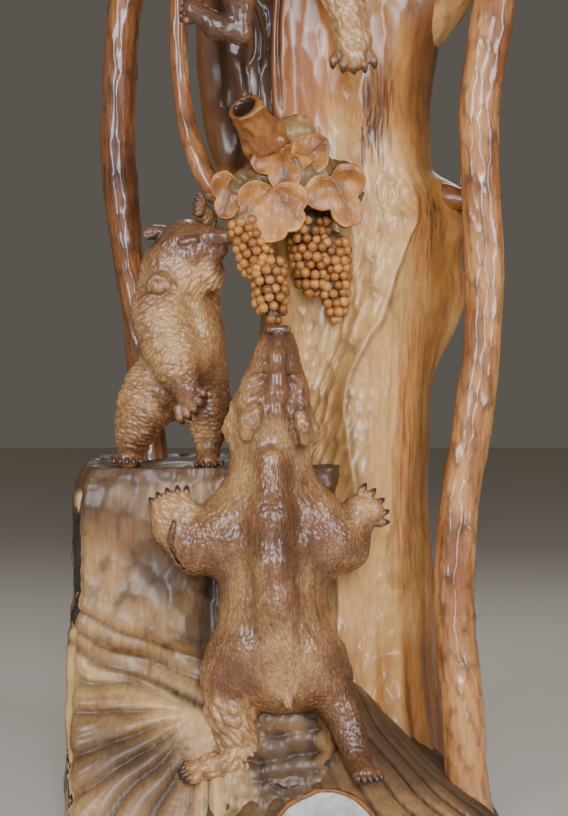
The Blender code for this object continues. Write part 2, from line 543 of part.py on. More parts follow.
def saw_root_stub(body):
    """The root that points to the front ends in a sawn face that leans back."""
    mesh = bmesh.new()
    bmesh.ops.create_cube(mesh, size=STUB_FACE_SIZE)
    bmesh.ops.translate(mesh, vec=(0, -STUB_FACE_SIZE / 2, 0), verts=mesh.verts[:])
    cutter = new_object("stub_cutter", mesh)
    cutter.location = STUB_FACE_AT
    cutter.rotation_euler = (-math.radians(STUB_FACE_TILT), 0, 0)
    hide_helper(cutter)
    take_away(body, cutter, "sawn_root_stub")


def hollow_cut_branch(body):
    """The cut branch is rotten inside: a round hole runs in along its axis."""
    (start, _), (end, _) = CUT_BRANCH[-2:]
    start, end = Vector(start), Vector(end)
    ahead = (end - start).normalized()
    mesh = bmesh.new()
    bmesh.ops.create_cone(mesh, cap_ends=True, segments=HOLLOW_SIDES, radius1=HOLLOW_RADIUS * 0.75,
                          radius2=HOLLOW_RADIUS, depth=2 * HOLLOW_DEPTH)
    cutter = new_object("hollow_cutter", mesh)
    cutter.location = end + ahead * BRANCH_END
    cutter.rotation_euler = ahead.to_track_quat("Z", "Y").to_euler()
    hide_helper(cutter)
    take_away(body, cutter, "rotten_hollow")


def saw_cut_branch(body):
    """A flat sawn end, square to the branch."""
    (start, _), (end, _) = CUT_BRANCH[-2:]
    start, end = Vector(start), Vector(end)
    ahead = (end - start).normalized()
    mesh = bmesh.new()
    bmesh.ops.create_cube(mesh, size=BRANCH_SAW_SIZE)
    bmesh.ops.translate(mesh, vec=(0, 0, BRANCH_SAW_SIZE / 2), verts=mesh.verts[:])
    cutter = new_object("branch_cutter", mesh)
    cutter.location = end + ahead * BRANCH_END
    cutter.rotation_euler = ahead.to_track_quat("Z", "Y").to_euler()
    hide_helper(cutter)
    take_away(body, cutter, "sawn_branch")


def take_away(body, cutter, name):
    cut = body.modifiers.new(name, "BOOLEAN")
    cut.operation = "DIFFERENCE"
    cut.object = cutter


def main():
    clear_scene()
    body = carved_body()
    join_fruit_and_leaves(body)
    cut_flat_underside(body)
    saw_root_stub(body)
    saw_cut_branch(body)
    hollow_cut_branch(body)
    wood = bpy.data.materials.new("carved_wood")
    wood.use_nodes = True
    shader = wood.node_tree.nodes["Principled BSDF"]
    shader.inputs["Base Color"].default_value = WOOD_COLOUR
    shader.inputs["Roughness"].default_value = WOOD_ROUGHNESS
    body.data.materials.append(wood)


main()
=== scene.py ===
"""Looks of the carved wooden bear group: three bears on a vine-clad trunk, cut from one log.

Metres, +X to the viewer's right, +Y away from the viewer, +Z up, origin in the flat underside.
"""

import math

import bpy
import numpy as np
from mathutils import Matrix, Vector


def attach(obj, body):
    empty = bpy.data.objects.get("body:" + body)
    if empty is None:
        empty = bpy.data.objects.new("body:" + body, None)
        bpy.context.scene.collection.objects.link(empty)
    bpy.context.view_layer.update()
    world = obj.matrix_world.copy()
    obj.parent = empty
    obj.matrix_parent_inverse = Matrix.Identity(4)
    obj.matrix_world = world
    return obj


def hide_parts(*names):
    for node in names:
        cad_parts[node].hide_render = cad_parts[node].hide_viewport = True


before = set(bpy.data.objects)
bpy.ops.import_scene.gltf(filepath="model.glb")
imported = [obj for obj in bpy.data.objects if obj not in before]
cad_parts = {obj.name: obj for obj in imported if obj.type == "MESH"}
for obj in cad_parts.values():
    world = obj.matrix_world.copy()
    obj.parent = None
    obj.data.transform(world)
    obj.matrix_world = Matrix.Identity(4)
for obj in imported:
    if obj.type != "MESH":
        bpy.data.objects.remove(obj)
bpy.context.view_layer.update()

NODE = "bear_group_carving"
FRONT = np.array([0.0, -1.0, 0.0])

# The camera stands level with the middle of the carving and looks a little down.
CAMERA_AT = (0.0, -3.2, 1.035)
CAMERA_PITCH = 3.5
METRES_PER_PIXEL = 0.0019
PHOTO_HEIGHT = 816

# Places and sizes that the solid has too.
TRUNK_TOP = 1.67
LEDGE_HEIGHT = 0.735
LARGE_BEAR = ((-0.016, -0.240, 0.192), 0.81)
SMALL_BEAR = ((-0.217, -0.030, LEDGE_HEIGHT + 0.004), 0.46)
UPPER_BEAR = ((0.070, 0.030, TRUNK_TOP), 0.46)


def set_camera():
    data = bpy.data.cameras.new("camera")
    camera = bpy.data.objects.new("camera", data)
    bpy.context.scene.collection.objects.link(camera)
    camera.location = CAMERA_AT
    camera.rotation_euler = (math.radians(90 - CAMERA_PITCH), 0, 0)
    data.sensor_width = 36
    data.lens = -CAMERA_AT[1] / METRES_PER_PIXEL / PHOTO_HEIGHT * data.sensor_width
    bpy.context.scene.camera = camera


set_camera()


# Numbers over arrays

def hashed(*cells):
    """A number from 0 to 1 for each cell: the fraction of a large sine of its whole coordinates."""
    mixed = sum(cell * factor for cell, factor in zip(cells, (127.1, 311.7, 74.7, 19.19)))
    return np.modf(np.abs(np.sin(mixed) * 43758.5453))[0]


def noise(points, size, seed=0):
    """Smooth values from -1 to 1 that change over about `size`: random numbers at the corners of a
    cubic lattice, blended with eased weights."""
    grid = np.asarray(points, float) / size
    cell = np.floor(grid)
    part = grid - cell
    ease = part * part * (3 - 2 * part)
    total = 0.0
    for corner in np.ndindex(2, 2, 2):
        weight = 1.0
        for axis in range(3):
            weight = weight * (ease[..., axis] if corner[axis] else 1 - ease[..., axis])
        place = [cell[..., axis] + corner[axis] for axis in range(3)]
        total = total + weight * hashed(*place, np.full(cell.shape[:-1], float(seed)))
    return 2 * total - 1


def gouge_marks(along, across, length, width, seed, around=0):
    """Overlapping gouge cuts, 0 in the middle of a cut and about 0.5 on the crest between two: the squared
    distance to the nearest cut's middle, one middle jittered in each cell of `length` by `width`, plus a small
    tilt of each cut. `around` is how many cells close the circle."""
    along, across = along / length, across / width
    row, column = np.floor(along), np.floor(across)
    best = np.full(np.shape(along), 9.0)
    height = np.zeros(np.shape(along))
    for step_row in (-1, 0, 1):
        for step_column in (-1, 0, 1):
            r, c = row + step_row, column + step_column
            key = np.mod(c, around) if around else c
            da = along - r - 0.5 - 0.7 * (hashed(r, key, seed + 1.0 + 0 * r) - 0.5)
            dc = across - c - 0.5 - 0.7 * (hashed(r, key, seed + 2.0 + 0 * r) - 0.5)
            square = da * da + dc * dc
            tilt = 0.5 * (hashed(r, key, seed + 3.0 + 0 * r) - 0.5)
            nearer = square < best
            best = np.where(nearer, square, best)
            height = np.where(nearer, square + tilt * dc + tilt * 0.6 * da, height)
    return height


def eased(low, high, values):
    share = np.clip((values - low) / (high - low), 0, 1)
    return share * share * (3 - 2 * share)


def bell(values, middle, width, power=2):
    return np.exp(-np.abs((values - middle) / width) ** power)


def turn_off(turn, middle):
    return (turn - middle + 180) % 360 - 180


def read_table(rows, at):
    """Each later column of the rows, read at the keys `at` with Hermite curves between the rows."""
    table = np.array(rows, float)
    at = np.clip(np.asarray(at, float), table[0, 0], table[-1, 0])
    index = np.clip(np.searchsorted(table[:, 0], at) - 1, 0, len(table) - 2)
    span = (table[index + 1, 0] - table[index, 0])[..., None]
    share = (at[..., None] - table[index, 0][..., None]) / span
    slopes = np.gradient(table[:, 1:], table[:, 0], axis=0)
    low, high = table[index, 1:], table[index + 1, 1:]
    return (low * (1 + 2 * share) * (1 - share) ** 2 + high * share**2 * (3 - 2 * share)
            + slopes[index] * span * share * (1 - share) ** 2 + slopes[index + 1] * span * share**2 * (share - 1))


# Meshes

def new_piece(name, points, faces, material, layers):
    """A mesh object from arrays, with one number or vector per point for each named layer."""
    mesh = bpy.data.meshes.new(name)
    mesh.from_pydata(np.asarray(points, float).reshape(-1, 3).tolist(), [], faces)
    for layer, values in layers.items():
        values = np.asarray(values, float).reshape(len(mesh.vertices), -1)
        kind, field = ("FLOAT", "value") if values.shape[1] == 1 else ("FLOAT_VECTOR", "vector")
        mesh.attributes.new(layer, kind, "POINT").data.foreach_set(field, values.ravel())
    mesh.polygons.foreach_set("use_smooth", [True] * len(mesh.polygons))
    mesh.update()
    mesh.validate()
    mesh.materials.append(material)
    piece = bpy.data.objects.new(name, mesh)
    bpy.context.scene.collection.objects.link(piece)
    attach(piece, "root")
    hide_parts(NODE)


def tube_faces(rows, columns, first=0):
    """Quads between neighbouring rings of a closed tube, and a fan at each end round one of the two points that
    follow the rings."""
    row = np.arange(rows - 1)[:, None] * columns
    here = np.arange(columns)
    after = (here + 1) % columns
    quads = np.stack([row + here, row + after, row + columns + after, row + columns + here], axis=-1)
    faces = (quads.reshape(-1, 4) + first).tolist()
    low, top = first + rows * columns, first + (rows - 1) * columns
    faces += np.stack([0 * here + low, first + after, first + here], axis=-1).tolist()
    faces += np.stack([0 * here + low + 1, top + here, top + after], axis=-1).tolist()
    return faces


def closed_tube(name, rings, material, layers):
    """A closed skin through rings of points, with its ends shut at each end ring's middle."""
    rows, columns = rings.shape[:2]
    ends = np.stack([rings[0].mean(axis=0), rings[-1].mean(axis=0)])
    points = np.concatenate([rings.reshape(-1, 3), ends])
    full = {}
    for layer, values in layers.items():
        values = values.reshape(rows * columns, -1)
        full[layer] = np.concatenate([values, values[:1], values[-1:]])
    new_piece(name, points, tube_faces(rows, columns), material, full)


def smooth_path(points, step):
    """Points every `step` along a Catmull-Rom curve through the given rows, each (x, y, z, radius...)."""
    rows = np.array(points, float)
    rows = np.concatenate([[2 * rows[0] - rows[1]], rows, [2 * rows[-1] - rows[-2]]])
    fine = []
    for a, b, c, d in zip(rows, rows[1:], rows[2:], rows[3:]):
        t = np.linspace(0, 1, 24, endpoint=False)[:, None]
        fine.append(0.5 * (2 * b + (c - a) * t + (2 * a - 5 * b + 4 * c - d) * t**2
                           + (3 * b - a - 3 * c + d) * t**3))
    fine = np.concatenate([*fine, rows[-2:-1]])
    run = np.concatenate([[0], np.cumsum(np.linalg.norm(np.diff(fine[:, :3], axis=0), axis=1))])
    at = np.linspace(0, run[-1], max(4, int(run[-1] / step)))
    return np.stack([np.interp(at, run, fine[:, k]) for k in range(fine.shape[1])], axis=1), at


def path_frames(path):
    """Two directions square to the path at each point, the first as near to the front (-Y) as it can be."""
    along = np.gradient(path, axis=0)
    along /= np.linalg.norm(along, axis=1, keepdims=True)
    front = FRONT - along * (along @ FRONT)[:, None]
    front /= np.linalg.norm(front, axis=1, keepdims=True)
    return front, np.cross(along, front)


# Skins worked out from a field of distances, for the figures

def surface_net(field, low, step):
    """The zero level of a sampled field: a point in every cell that it crosses, at the mean of the crossings
    on the cell's 12 edges, and a quad round every crossed edge of the lattice."""
    inside = field < 0
    size = np.array(field.shape) - 1
    corners = list(np.ndindex(2, 2, 2))
    count = sum(inside[i:size[0] + i, j:size[1] + j, k:size[2] + k].astype(np.int8) for i, j, k in corners)
    cells = np.argwhere((count > 0) & (count < 8))
    index = np.full(size, -1, np.int64)
    index[tuple(cells.T)] = np.arange(len(cells))
    total = np.zeros((len(cells), 3))
    crossings = np.zeros(len(cells))
    for a in corners:
        for axis in range(3):
            if a[axis]:
                continue
            b = list(a)
            b[axis] = 1
            fa = field[tuple((cells + a).T)].astype(float)
            fb = field[tuple((cells + b).T)].astype(float)
            crossed = (fa < 0) != (fb < 0)
            share = np.where(crossed, fa / np.where(crossed, fa - fb, 1), 0)
            place = np.repeat(np.array([a], float), len(cells), axis=0)
            place[:, axis] += share
            total += place * crossed[:, None]
            crossings += crossed
    points = (cells + total / crossings[:, None]) * step + low
    quads = []
    for axis in range(3):
        u, v = (axis + 1) % 3, (axis + 2) % 3
        ahead = np.moveaxis(inside, axis, 0)[1:] != np.moveaxis(inside, axis, 0)[:-1]
        edges = np.argwhere(np.moveaxis(ahead, 0, axis))
        edges = edges[np.all([(edges[:, w] > 0) & (edges[:, w] < size[w]) for w in (u, v)], axis=0)]
        ring = []
        for du, dv in ((0, 0), (-1, 0), (-1, -1), (0, -1)):
            cell = edges.copy()
            cell[:, u] += du
            cell[:, v] += dv
            ring.append(index[tuple(cell.T)])
        quad = np.stack(ring, axis=1)
        flip = inside[tuple(edges.T)]
        quads.append(np.where(flip[:, None], quad, quad[:, ::-1]))
    return points, np.concatenate(quads)


def bone_distance(points, bone):
    """How far each point is from a limb that runs straight between two balls, and how far along it lies."""
    start, start_radius, end, end_radius = bone
    axis = end - start
    share = np.clip((points - start) @ axis / max(axis @ axis, 1e-12), 0, 1)
    radius = start_radius + (end_radius - start_radius) * share
    return np.linalg.norm(points - start - share[..., None] * axis, axis=-1) - radius, share


FAR = 0.3  # metres: the distance given to what no limb comes near
FUR_BLEND = 0.009  # metres over which the fur of one limb turns into that of the next


def soft_union(a, b, blend):
    """The smaller of two distances, rounded where they are closer than `blend`."""
    mix = np.clip(0.5 + 0.5 * (a - b) / blend, 0, 1)
    return a + (b - a) * mix - blend * mix * (1 - mix)


class Figure:
    """A figure as limbs, each (name, blend, fur, chain of ((x, y, z), radius)), in hundredths of its height."""

    def __init__(self, place, limbs, hollows=()):
        origin, height = place
        self.unit = height / 100
        self.origin = np.array(origin)
        self.bones, self.cuts = [], []
        for _, blend, fur, chain in limbs:
            run = 0.0
            for (a, ra), (b, rb) in zip(chain, chain[1:]):
                bone = (self.at(a), ra * self.unit, self.at(b), rb * self.unit)
                self.bones.append((bone, blend * self.unit, fur, run))
                run += float(np.linalg.norm(bone[2] - bone[0]))
        for blend, (a, ra), (b, rb) in hollows:
            self.cuts.append(((self.at(a), ra * self.unit, self.at(b), rb * self.unit), blend * self.unit))

    def at(self, point):
        return self.origin + np.array(point, float) * self.unit

    def distance(self, points):
        total = np.full(points.shape[:-1], FAR)
        for bone, blend, _, _ in self.bones:
            total = soft_union(total, bone_distance(points, bone)[0], blend)
        for bone, blend in self.cuts:
            total = -soft_union(-total, bone_distance(points, bone)[0], blend)
        return total

    def skin(self, step):
        """Samples the distance near the limbs alone, skins it, and pulls each point onto the true level."""
        ends = np.array([end for bone, *_ in self.bones for end in (bone[0], bone[2])])
        widest = max(max(bone[1], bone[3]) for bone, *_ in self.bones) + 0.03
        low = ends.min(axis=0) - widest
        shape = np.ceil((ends.max(axis=0) + widest - low) / step).astype(int) + 1
        field = np.full(shape, FAR, np.float32)
        for bone, blend, *_ in self.bones:
            self.stamp(field, low, step, bone, blend, 1)
        for bone, blend in self.cuts:
            self.stamp(field, low, step, bone, blend, -1)
        points, quads = surface_net(field, low, step)
        normals, value = self.normals(points)
        points = points - normals * value[:, None]
        return points, quads, self.normals(points)[0]

    def stamp(self, field, low, step, bone, blend, sign):
        """Adds a limb to the field, or with a `sign` of -1 cuts it out, over the part of it that it can change."""
        margin = max(bone[1], bone[3]) + blend + 4 * step
        first = np.maximum(np.floor((np.minimum(bone[0], bone[2]) - margin - low) / step).astype(int), 0)
        last = np.minimum(np.ceil((np.maximum(bone[0], bone[2]) + margin - low) / step).astype(int) + 1, field.shape)
        part = tuple(slice(a, b) for a, b in zip(first, last))
        axes = [low[k] + step * np.arange(first[k], last[k]) for k in range(3)]
        points = np.stack(np.meshgrid(*axes, indexing="ij"), axis=-1)
        field[part] = sign * soft_union(sign * field[part].astype(float), bone_distance(points, bone)[0], blend)

    def normals(self, points):
        """The way out of the figure at each point, from the slope of the distance, and the distance itself."""
        reach = 0.0012
        sides = []
        for axis in range(3):
            shift = np.zeros(3)
            shift[axis] = reach
            sides.append(self.distance(points + shift) - self.distance(points - shift))
        slope = np.stack(sides, axis=1) / (2 * reach)
        length = np.maximum(np.linalg.norm(slope, axis=1, keepdims=True), 1e-6)
        return slope / length, self.distance(points)

    def lay(self, points):
        """For each point, shared smoothly between the limbs near it: the way its fur lies and how much of each
        kind of fur it has; then how far along and round the nearest limb it is, in metres,
        and how surely it belongs to that stretch of limb alone."""
        distances = np.stack([bone_distance(points, bone)[0] for bone, *_ in self.bones])
        order = np.sort(distances, axis=0)
        share = np.exp(-(distances - order[0]) / FUR_BLEND)
        share /= share.sum(axis=0)
        way = np.zeros((len(points), 3))
        kinds = np.zeros((len(points), len(FUR)))
        lay = np.zeros((len(points), 3))
        nearest = distances.argmin(axis=0)
        for number, ((a, ra, b, rb), _, fur, run) in enumerate(self.bones):
            axis = (b - a) / max(np.linalg.norm(b - a), 1e-9)
            way += share[number][:, None] * axis * (-1 if fur < 0 else 1)
            kinds[:, abs(fur) - 1] += share[number]
            front = FRONT - axis * -axis[1]
            front /= max(np.linalg.norm(front), 1e-9)
            mine = nearest == number
            out = points[mine] - a
            turn = np.arctan2(out @ np.cross(axis, front), out @ front)
            lay[mine, 0] = run + out @ axis
            lay[mine, 1] = turn * (ra + rb) / 2
        lay[:, 2] = eased(0.001, 0.010, order[1] - order[0])
        return way, kinds, lay


def fur_cuts(points, normals, way, length, width, seed):
    """Cuts that lie along `way`: the two nearest of one jittered middle in each cell of a cubic lattice, by a
    distance that is `length` long and `width` wide. It gives the height, 1 on a tuft and 0 in the groove
    between two, with each tuft's far end lifted, and a number of each tuft's own."""
    across = np.cross(normals, way)
    cell = (length * width * width) ** (1 / 3)
    base = np.floor(points / cell)
    first, second = np.full(len(points), 99.0), np.full(len(points), 99.0)
    lift, own = np.zeros(len(points)), np.zeros(len(points))
    for step in np.ndindex(5, 5, 5):
        at = base + np.array(step) - 2
        keys = [at[:, 0], at[:, 1], at[:, 2]]
        place = np.stack([hashed(*keys, np.full(len(points), seed + 0.1 * k)) for k in (1, 2, 3)], axis=1)
        gap = (at + 0.1 + 0.8 * place) * cell - points
        along = np.einsum("ij,ij->i", gap, way) / length
        aside = np.einsum("ij,ij->i", gap, across) / width
        deep = np.einsum("ij,ij->i", gap, normals) / width
        square = np.sqrt(along * along + aside * aside + 0.5 * deep * deep)
        nearer = square < first
        second = np.where(nearer, first, np.minimum(second, square))
        first = np.where(nearer, square, first)
        lift = np.where(nearer, -along, lift)
        own = np.where(nearer, place[:, 0], own)
    crest = 1 - (1 - np.clip((second - first) / 0.45, 0, 1)) ** 2
    return crest * (0.8 + 0.45 * np.clip(lift, -0.7, 0.7) + 0.35 * (own - 0.5)), own


# The kinds of fur: length and width of a cut, depth (all in metres), and tone from pale 0 to dark 1.
FUR = (
    (0.0200, 0.0062, 0.0020, 0.42),  # 1 fine strokes on backs and heads
    (0.0105, 0.0080, 0.0026, 0.50),  # 2 short scales on hips and arms
    (0.0400, 0.0130, 0.0066, 0.20),  # 3 long shaggy locks
    (0.0085, 0.0300, 0.0040, 0.22),  # 4 ridges across the limb
    (0.0200, 0.0060, 0.0004, 0.48),  # 5 almost smooth, on noses, ears and toes
)


def carve_figure(name, figure, step, tones, parting):
    """The skin of a figure, moved out and in by broad muscle swells and by its fur cuts. `parting` turns the fur
    outward from the figure's middle line."""
    points, quads, normals = figure.skin(step)
    way, kinds, lay = figure.lay(points)
    aside = np.tanh((points[:, 0] - figure.origin[0]) / 0.05)
    spin = 0.45 * noise(points, 0.055, 11) + parting * aside * kinds[:, :2].sum(axis=1)
    way = way + np.cross(normals, way) * (spin + 0.8 * kinds[:, 2])[:, None]
    way -= normals * np.einsum("ij,ij->i", way, normals)[:, None]
    way /= np.maximum(np.linalg.norm(way, axis=1, keepdims=True), 1e-6)
    depth = 0.0020 * noise(points, 0.050, 21) + 0.0012 * noise(points, 0.022, 22)
    groove, tone = np.zeros(len(points)), np.zeros(len(points))
    for kind, (length, width, cut, fur_tone) in enumerate(FUR):
        mine = kinds[:, kind] > 0.02
        if not mine.any():
            continue
        crest, own = fur_cuts(points[mine], normals[mine], way[mine], length, width, 10.0 * kind + 3)
        weight = kinds[mine, kind]
        depth[mine] += weight * cut * (crest - 0.75)
        groove[mine] += weight * (1 - crest)
        tone[mine] += weight * (fur_tone + 0.16 * (own - 0.5))
    # Painted shade: points that the figure's own forms crowd over, between limbs and in folds, are darkened through the
    # cavity layer; the fur grooves add stained cuts on top.
    painted_shade_near = 1 - np.clip(figure.distance(points + normals * 0.012) / 0.012, 0, 1)
    painted_shade_far = 1 - np.clip(figure.distance(points + normals * 0.035) / 0.035, 0, 1)
    for centre, reach, change in tones:
        tone += change * bell(np.linalg.norm(points - figure.at(centre), axis=1), 0, reach * figure.unit)
    points = points + normals * depth[:, None]
    tone = tone + 0.34 * noise(points, 0.09, 5) + 0.14 * noise(points, 0.03, 6)
    cavity = np.clip(0.45 * painted_shade_near + 0.22 * painted_shade_far + 0.80 * np.clip(groove - 0.35, 0, 1), 0, 1)
    new_piece(name, points, quads.tolist(), FIGURE_WOOD, {"lay": lay, "tone": tone, "cavity": cavity})


# Materials

def linear(code):
    """An sRGB hex colour as the linear numbers that a shader takes."""
    parts = [int(code[i:i + 2], 16) / 255 for i in (0, 2, 4)]
    return tuple(p / 12.92 if p <= 0.04045 else ((p + 0.055) / 1.055) ** 2.4 for p in parts) + (1.0,)


def add_node(tree, kind, settings=None, **inputs):
    """A node with its settings, and its inputs set to a value or joined to another node's output."""
    node = tree.nodes.new(kind)
    for key, value in (settings or {}).items():
        setattr(node, key, value)
    for key, value in inputs.items():
        socket = node.inputs[int(key[1:])] if key[1:].isdigit() else node.inputs[key.replace("_", " ")]
        if isinstance(value, bpy.types.NodeSocket):
            tree.links.new(value, socket)
        else:
            socket.default_value = value
    return node


def ramp(tree, factor, *stops):
    node = add_node(tree, "ShaderNodeValToRGB", Fac=factor)
    node.color_ramp.elements[0].position, node.color_ramp.elements[0].color = stops[0]
    node.color_ramp.elements[1].position, node.color_ramp.elements[1].color = stops[-1]
    for position, colour in stops[1:-1]:
        node.color_ramp.elements.new(position).color = colour
    return node.outputs["Color"]


def blend(tree, factor, a, b):
    node = add_node(tree, "ShaderNodeMix", {"data_type": "RGBA", "blend_type": "MIX"}, i0=factor, i6=a, i7=b)
    return node.outputs[2]


def math_node(tree, how, *values):
    return add_node(tree, "ShaderNodeMath", {"operation": how},
                    **{f"i{k}": value for k, value in enumerate(values)}).outputs[0]


def swing(tree, value, amount):
    """A value from 0 to 1 as a change of half `amount` either way."""
    return math_node(tree, "MULTIPLY", math_node(tree, "SUBTRACT", value, 0.5), amount)


def clamped(tree, value):
    return add_node(tree, "ShaderNodeClamp", Value=value).outputs[0]


def layer_node(tree, name, output="Fac"):
    return add_node(tree, "ShaderNodeAttribute", {"attribute_name": name}).outputs[output]


def scaled(tree, place, *scale):
    return add_node(tree, "ShaderNodeMapping", Vector=place, Scale=scale).outputs[0]


def noise_node(tree, place, output=0, **inputs):
    return add_node(tree, "ShaderNodeTexNoise", Vector=place, **inputs).outputs[output]


GRAIN_MM = 7.0
GRAIN_STRETCH = 14
RING_MM = 26.0


def carved_wood(name, pale, middle, dark, groove, ring, cut_mm, cut_depth, roughness, coat, coat_roughness,
                by_limb=False, extra=None):
    """Wood cut with a gouge, wiped with stains that stay in the cuts, then varnished: a soft sheen with sharp
    glints. `pale`, `middle` and `dark` follow the tone layer, `groove` is the colour that the cavity layer draws
    toward, for stained cuts and for painted shade in hollows and under parts, the grain runs up the log, and the ring
    lines are level curves of a slow noise as on flat-sawn wood. A cut is `cut_mm` long and wide, and lies along the
    limb where `by_limb` says so."""
    material = bpy.data.materials.new(name)
    material.use_nodes = True
    tree = material.node_tree
    shader = tree.nodes["Principled BSDF"]
    place = add_node(tree, "ShaderNodeTexCoord").outputs["Object"]
    tone, cavity, lay = layer_node(tree, "tone"), layer_node(tree, "cavity"), layer_node(tree, "lay", "Vector")

    along_grain = scaled(tree, place, 1000 / GRAIN_MM, 1000 / GRAIN_MM, 1000 / (GRAIN_MM * GRAIN_STRETCH))
    fibre = noise_node(tree, along_grain, Scale=1.0, Detail=5.0, Roughness=0.62)
    cloud = noise_node(tree, place, Scale=7.0, Detail=4.0, Roughness=0.6)
    level = noise_node(tree, scaled(tree, place, 1.0, 1.0, 0.33), Scale=4.5, Detail=1.5, Roughness=0.4,
                       Distortion=0.3)
    rings = math_node(tree, "FRACT", math_node(tree, "MULTIPLY", level, 220.0 / RING_MM))
    line = math_node(tree, "POWER", rings, 5.0)

    spread = math_node(tree, "ADD", tone, swing(tree, cloud, 0.9))
    spread = math_node(tree, "ADD", spread, swing(tree, fibre, 0.55))
    colour = ramp(tree, spread, (0.12, linear(pale)), (0.5, linear(middle)), (0.92, linear(dark)))
    colour = blend(tree, math_node(tree, "MULTIPLY", line, ring), colour, linear(dark))
    if extra:
        colour = extra(tree, colour, place)

    cuts = scaled(tree, lay, 1000 / cut_mm[0], 1000 / cut_mm[1], 1.0)
    wander = noise_node(tree, place, "Color", Scale=60.0, Detail=2.0)
    cuts = add_node(tree, "ShaderNodeVectorMath", {"operation": "MULTIPLY_ADD"}, i0=wander, i1=(0.9, 0.9, 0.0),
                    i2=cuts).outputs[0]
    chips = add_node(tree, "ShaderNodeTexVoronoi", {"voronoi_dimensions": "2D", "feature": "F1"}, Vector=cuts,
                     Scale=1.0).outputs["Distance"]
    if by_limb:
        around = add_node(tree, "ShaderNodeTexVoronoi", {"feature": "F1"}, Vector=place,
                          Scale=1000 / (cut_mm[1] * 1.6)).outputs["Distance"]
        sure = add_node(tree, "ShaderNodeSeparateXYZ", Vector=lay).outputs["Z"]
        chips = add_node(tree, "ShaderNodeMix", {"data_type": "FLOAT"}, i0=sure, i2=around, i3=chips).outputs[0]
    # The cavity layer brings stained cuts and painted shade; the chips add the stained cuts of the gouge.
    cut_stain_and_shade = math_node(tree, "MULTIPLY", cavity, 0.85)
    cut_stain_and_shade = clamped(tree, math_node(tree, "ADD", cut_stain_and_shade, math_node(tree, "MULTIPLY", chips, 0.22)))
    colour = blend(tree, cut_stain_and_shade, colour, linear(groove))
    tree.links.new(colour, shader.inputs["Base Color"])

    depth = add_node(tree, "ShaderNodeBump", Strength=1.0, Distance=cut_depth, Height=chips).outputs[0]
    pores = add_node(tree, "ShaderNodeBump", Strength=0.35, Distance=0.0004, Height=fibre, Normal=depth).outputs[0]
    tree.links.new(pores, shader.inputs["Normal"])
    sheen = math_node(tree, "ADD", math_node(tree, "MULTIPLY", fibre, 0.16),
                      math_node(tree, "ADD", math_node(tree, "MULTIPLY", cavity, 0.25), roughness - 0.08))
    tree.links.new(sheen, shader.inputs["Roughness"])
    for socket, value in (("IOR", 1.5), ("Coat Weight", coat), ("Coat Roughness", coat_roughness),
                          ("Specular IOR Level", 0.35), ("Coat IOR", 1.5)):
        shader.inputs[socket].default_value = value
    return material


def wood_stains(tree, colour, place):
    """Stains where the layers say: orange heartwood, a brushed purple-brown bark staining, and charring, which down the
    cut branch's hole is painted shade. A noise stretched up the log breaks the edge of each into streaks."""
    brush = noise_node(tree, scaled(tree, place, 190.0, 190.0, 15.0), Scale=1.0, Detail=3.0)
    ragged = swing(tree, brush, 1.7)
    for name, code, hard in (("orange", "a8602a", 1.2), ("purple", "552c22", 2.2), ("char_and_shade", "2c2927", 9.0)):
        amount = layer_node(tree, name)
        over = math_node(tree, "ADD", math_node(tree, "SUBTRACT", amount, 0.5), ragged)
        over = math_node(tree, "MULTIPLY", over, hard)
        share = math_node(tree, "MULTIPLY", clamped(tree, math_node(tree, "ADD", over, 0.5)),
                          clamped(tree, math_node(tree, "MULTIPLY", amount, 3.0)))
        colour = blend(tree, share, colour, linear(code))
    return colour


# Pale sapwood, varnished with little stain: honey with fine vertical grain.
HONEY_WOOD = carved_wood("varnished_honey_wood", "dca866", "b97d3c", "7b4b22", "38200e", ring=0.30, cut_mm=(30.0, 12.0),
                         cut_depth=0.0009, roughness=0.46, coat=0.60, coat_roughness=0.17, extra=wood_stains)
# The root and the block: stained olive-brown, with a satin varnish.
ROOT_WOOD = carved_wood("stained_root_wood", "cfa56c", "997246", "5c432a", "24160b", ring=0.25, cut_mm=(34.0, 14.0),
                        cut_depth=0.0010, roughness=0.50, coat=0.40, coat_roughness=0.25, extra=wood_stains)
# The same wood stained orange-brown for the figures.
FIGURE_WOOD = carved_wood("stained_figure_wood", "d09c63", "8d5c37", "583620", "2a170b", ring=0.15, cut_mm=(13.0, 3.2),
                          cut_depth=0.0014, roughness=0.46, coat=0.75, coat_roughness=0.20, by_limb=True)
# Vines: stained darker and redder, in long facets.
VINE_WOOD = carved_wood("stained_vine_wood", "cd8f55", "945a31", "54321f", "2c190e", ring=0.20, cut_mm=(42.0, 9.0),
                        cut_depth=0.0012, roughness=0.44, coat=0.80, coat_roughness=0.12)
# Leaves and fruit: an even orange stain.
LEAF_WOOD = carved_wood("stained_leaf_wood", "cf9048", "a46428", "6a401e", "30190b", ring=0.0, cut_mm=(8.0, 2.4),
                        cut_depth=0.0006, roughness=0.48, coat=0.40, coat_roughness=0.22)
# The sawn root end: bare, greyed and checked.
END_WOOD = carved_wood("greyed_end_grain", "cbc8c2", "b4b0aa", "8c857c", "564c42", ring=0.25, cut_mm=(6.0, 6.0),
                       cut_depth=0.0005, roughness=0.6, coat=0.15, coat_roughness=0.16)


# The trunk, as reach from an upright axis over turn and height

# The trunk: height, middle x, middle y, half width, half depth.
TRUNK_SECTIONS = [
    (-0.02, 0.085, 0.120, 0.250, 0.215), (0.12, 0.090, 0.122, 0.232, 0.200), (0.25, 0.096, 0.125, 0.215, 0.190),
    (0.45, 0.103, 0.135, 0.198, 0.182), (0.65, 0.108, 0.145, 0.182, 0.178), (0.95, 0.121, 0.150, 0.170, 0.176),
    (1.17, 0.116, 0.155, 0.176, 0.178), (1.30, 0.075, 0.165, 0.216, 0.182), (1.50, 0.062, 0.165, 0.236, 0.186),
    (TRUNK_TOP, 0.066, 0.165, 0.238, 0.188),
]
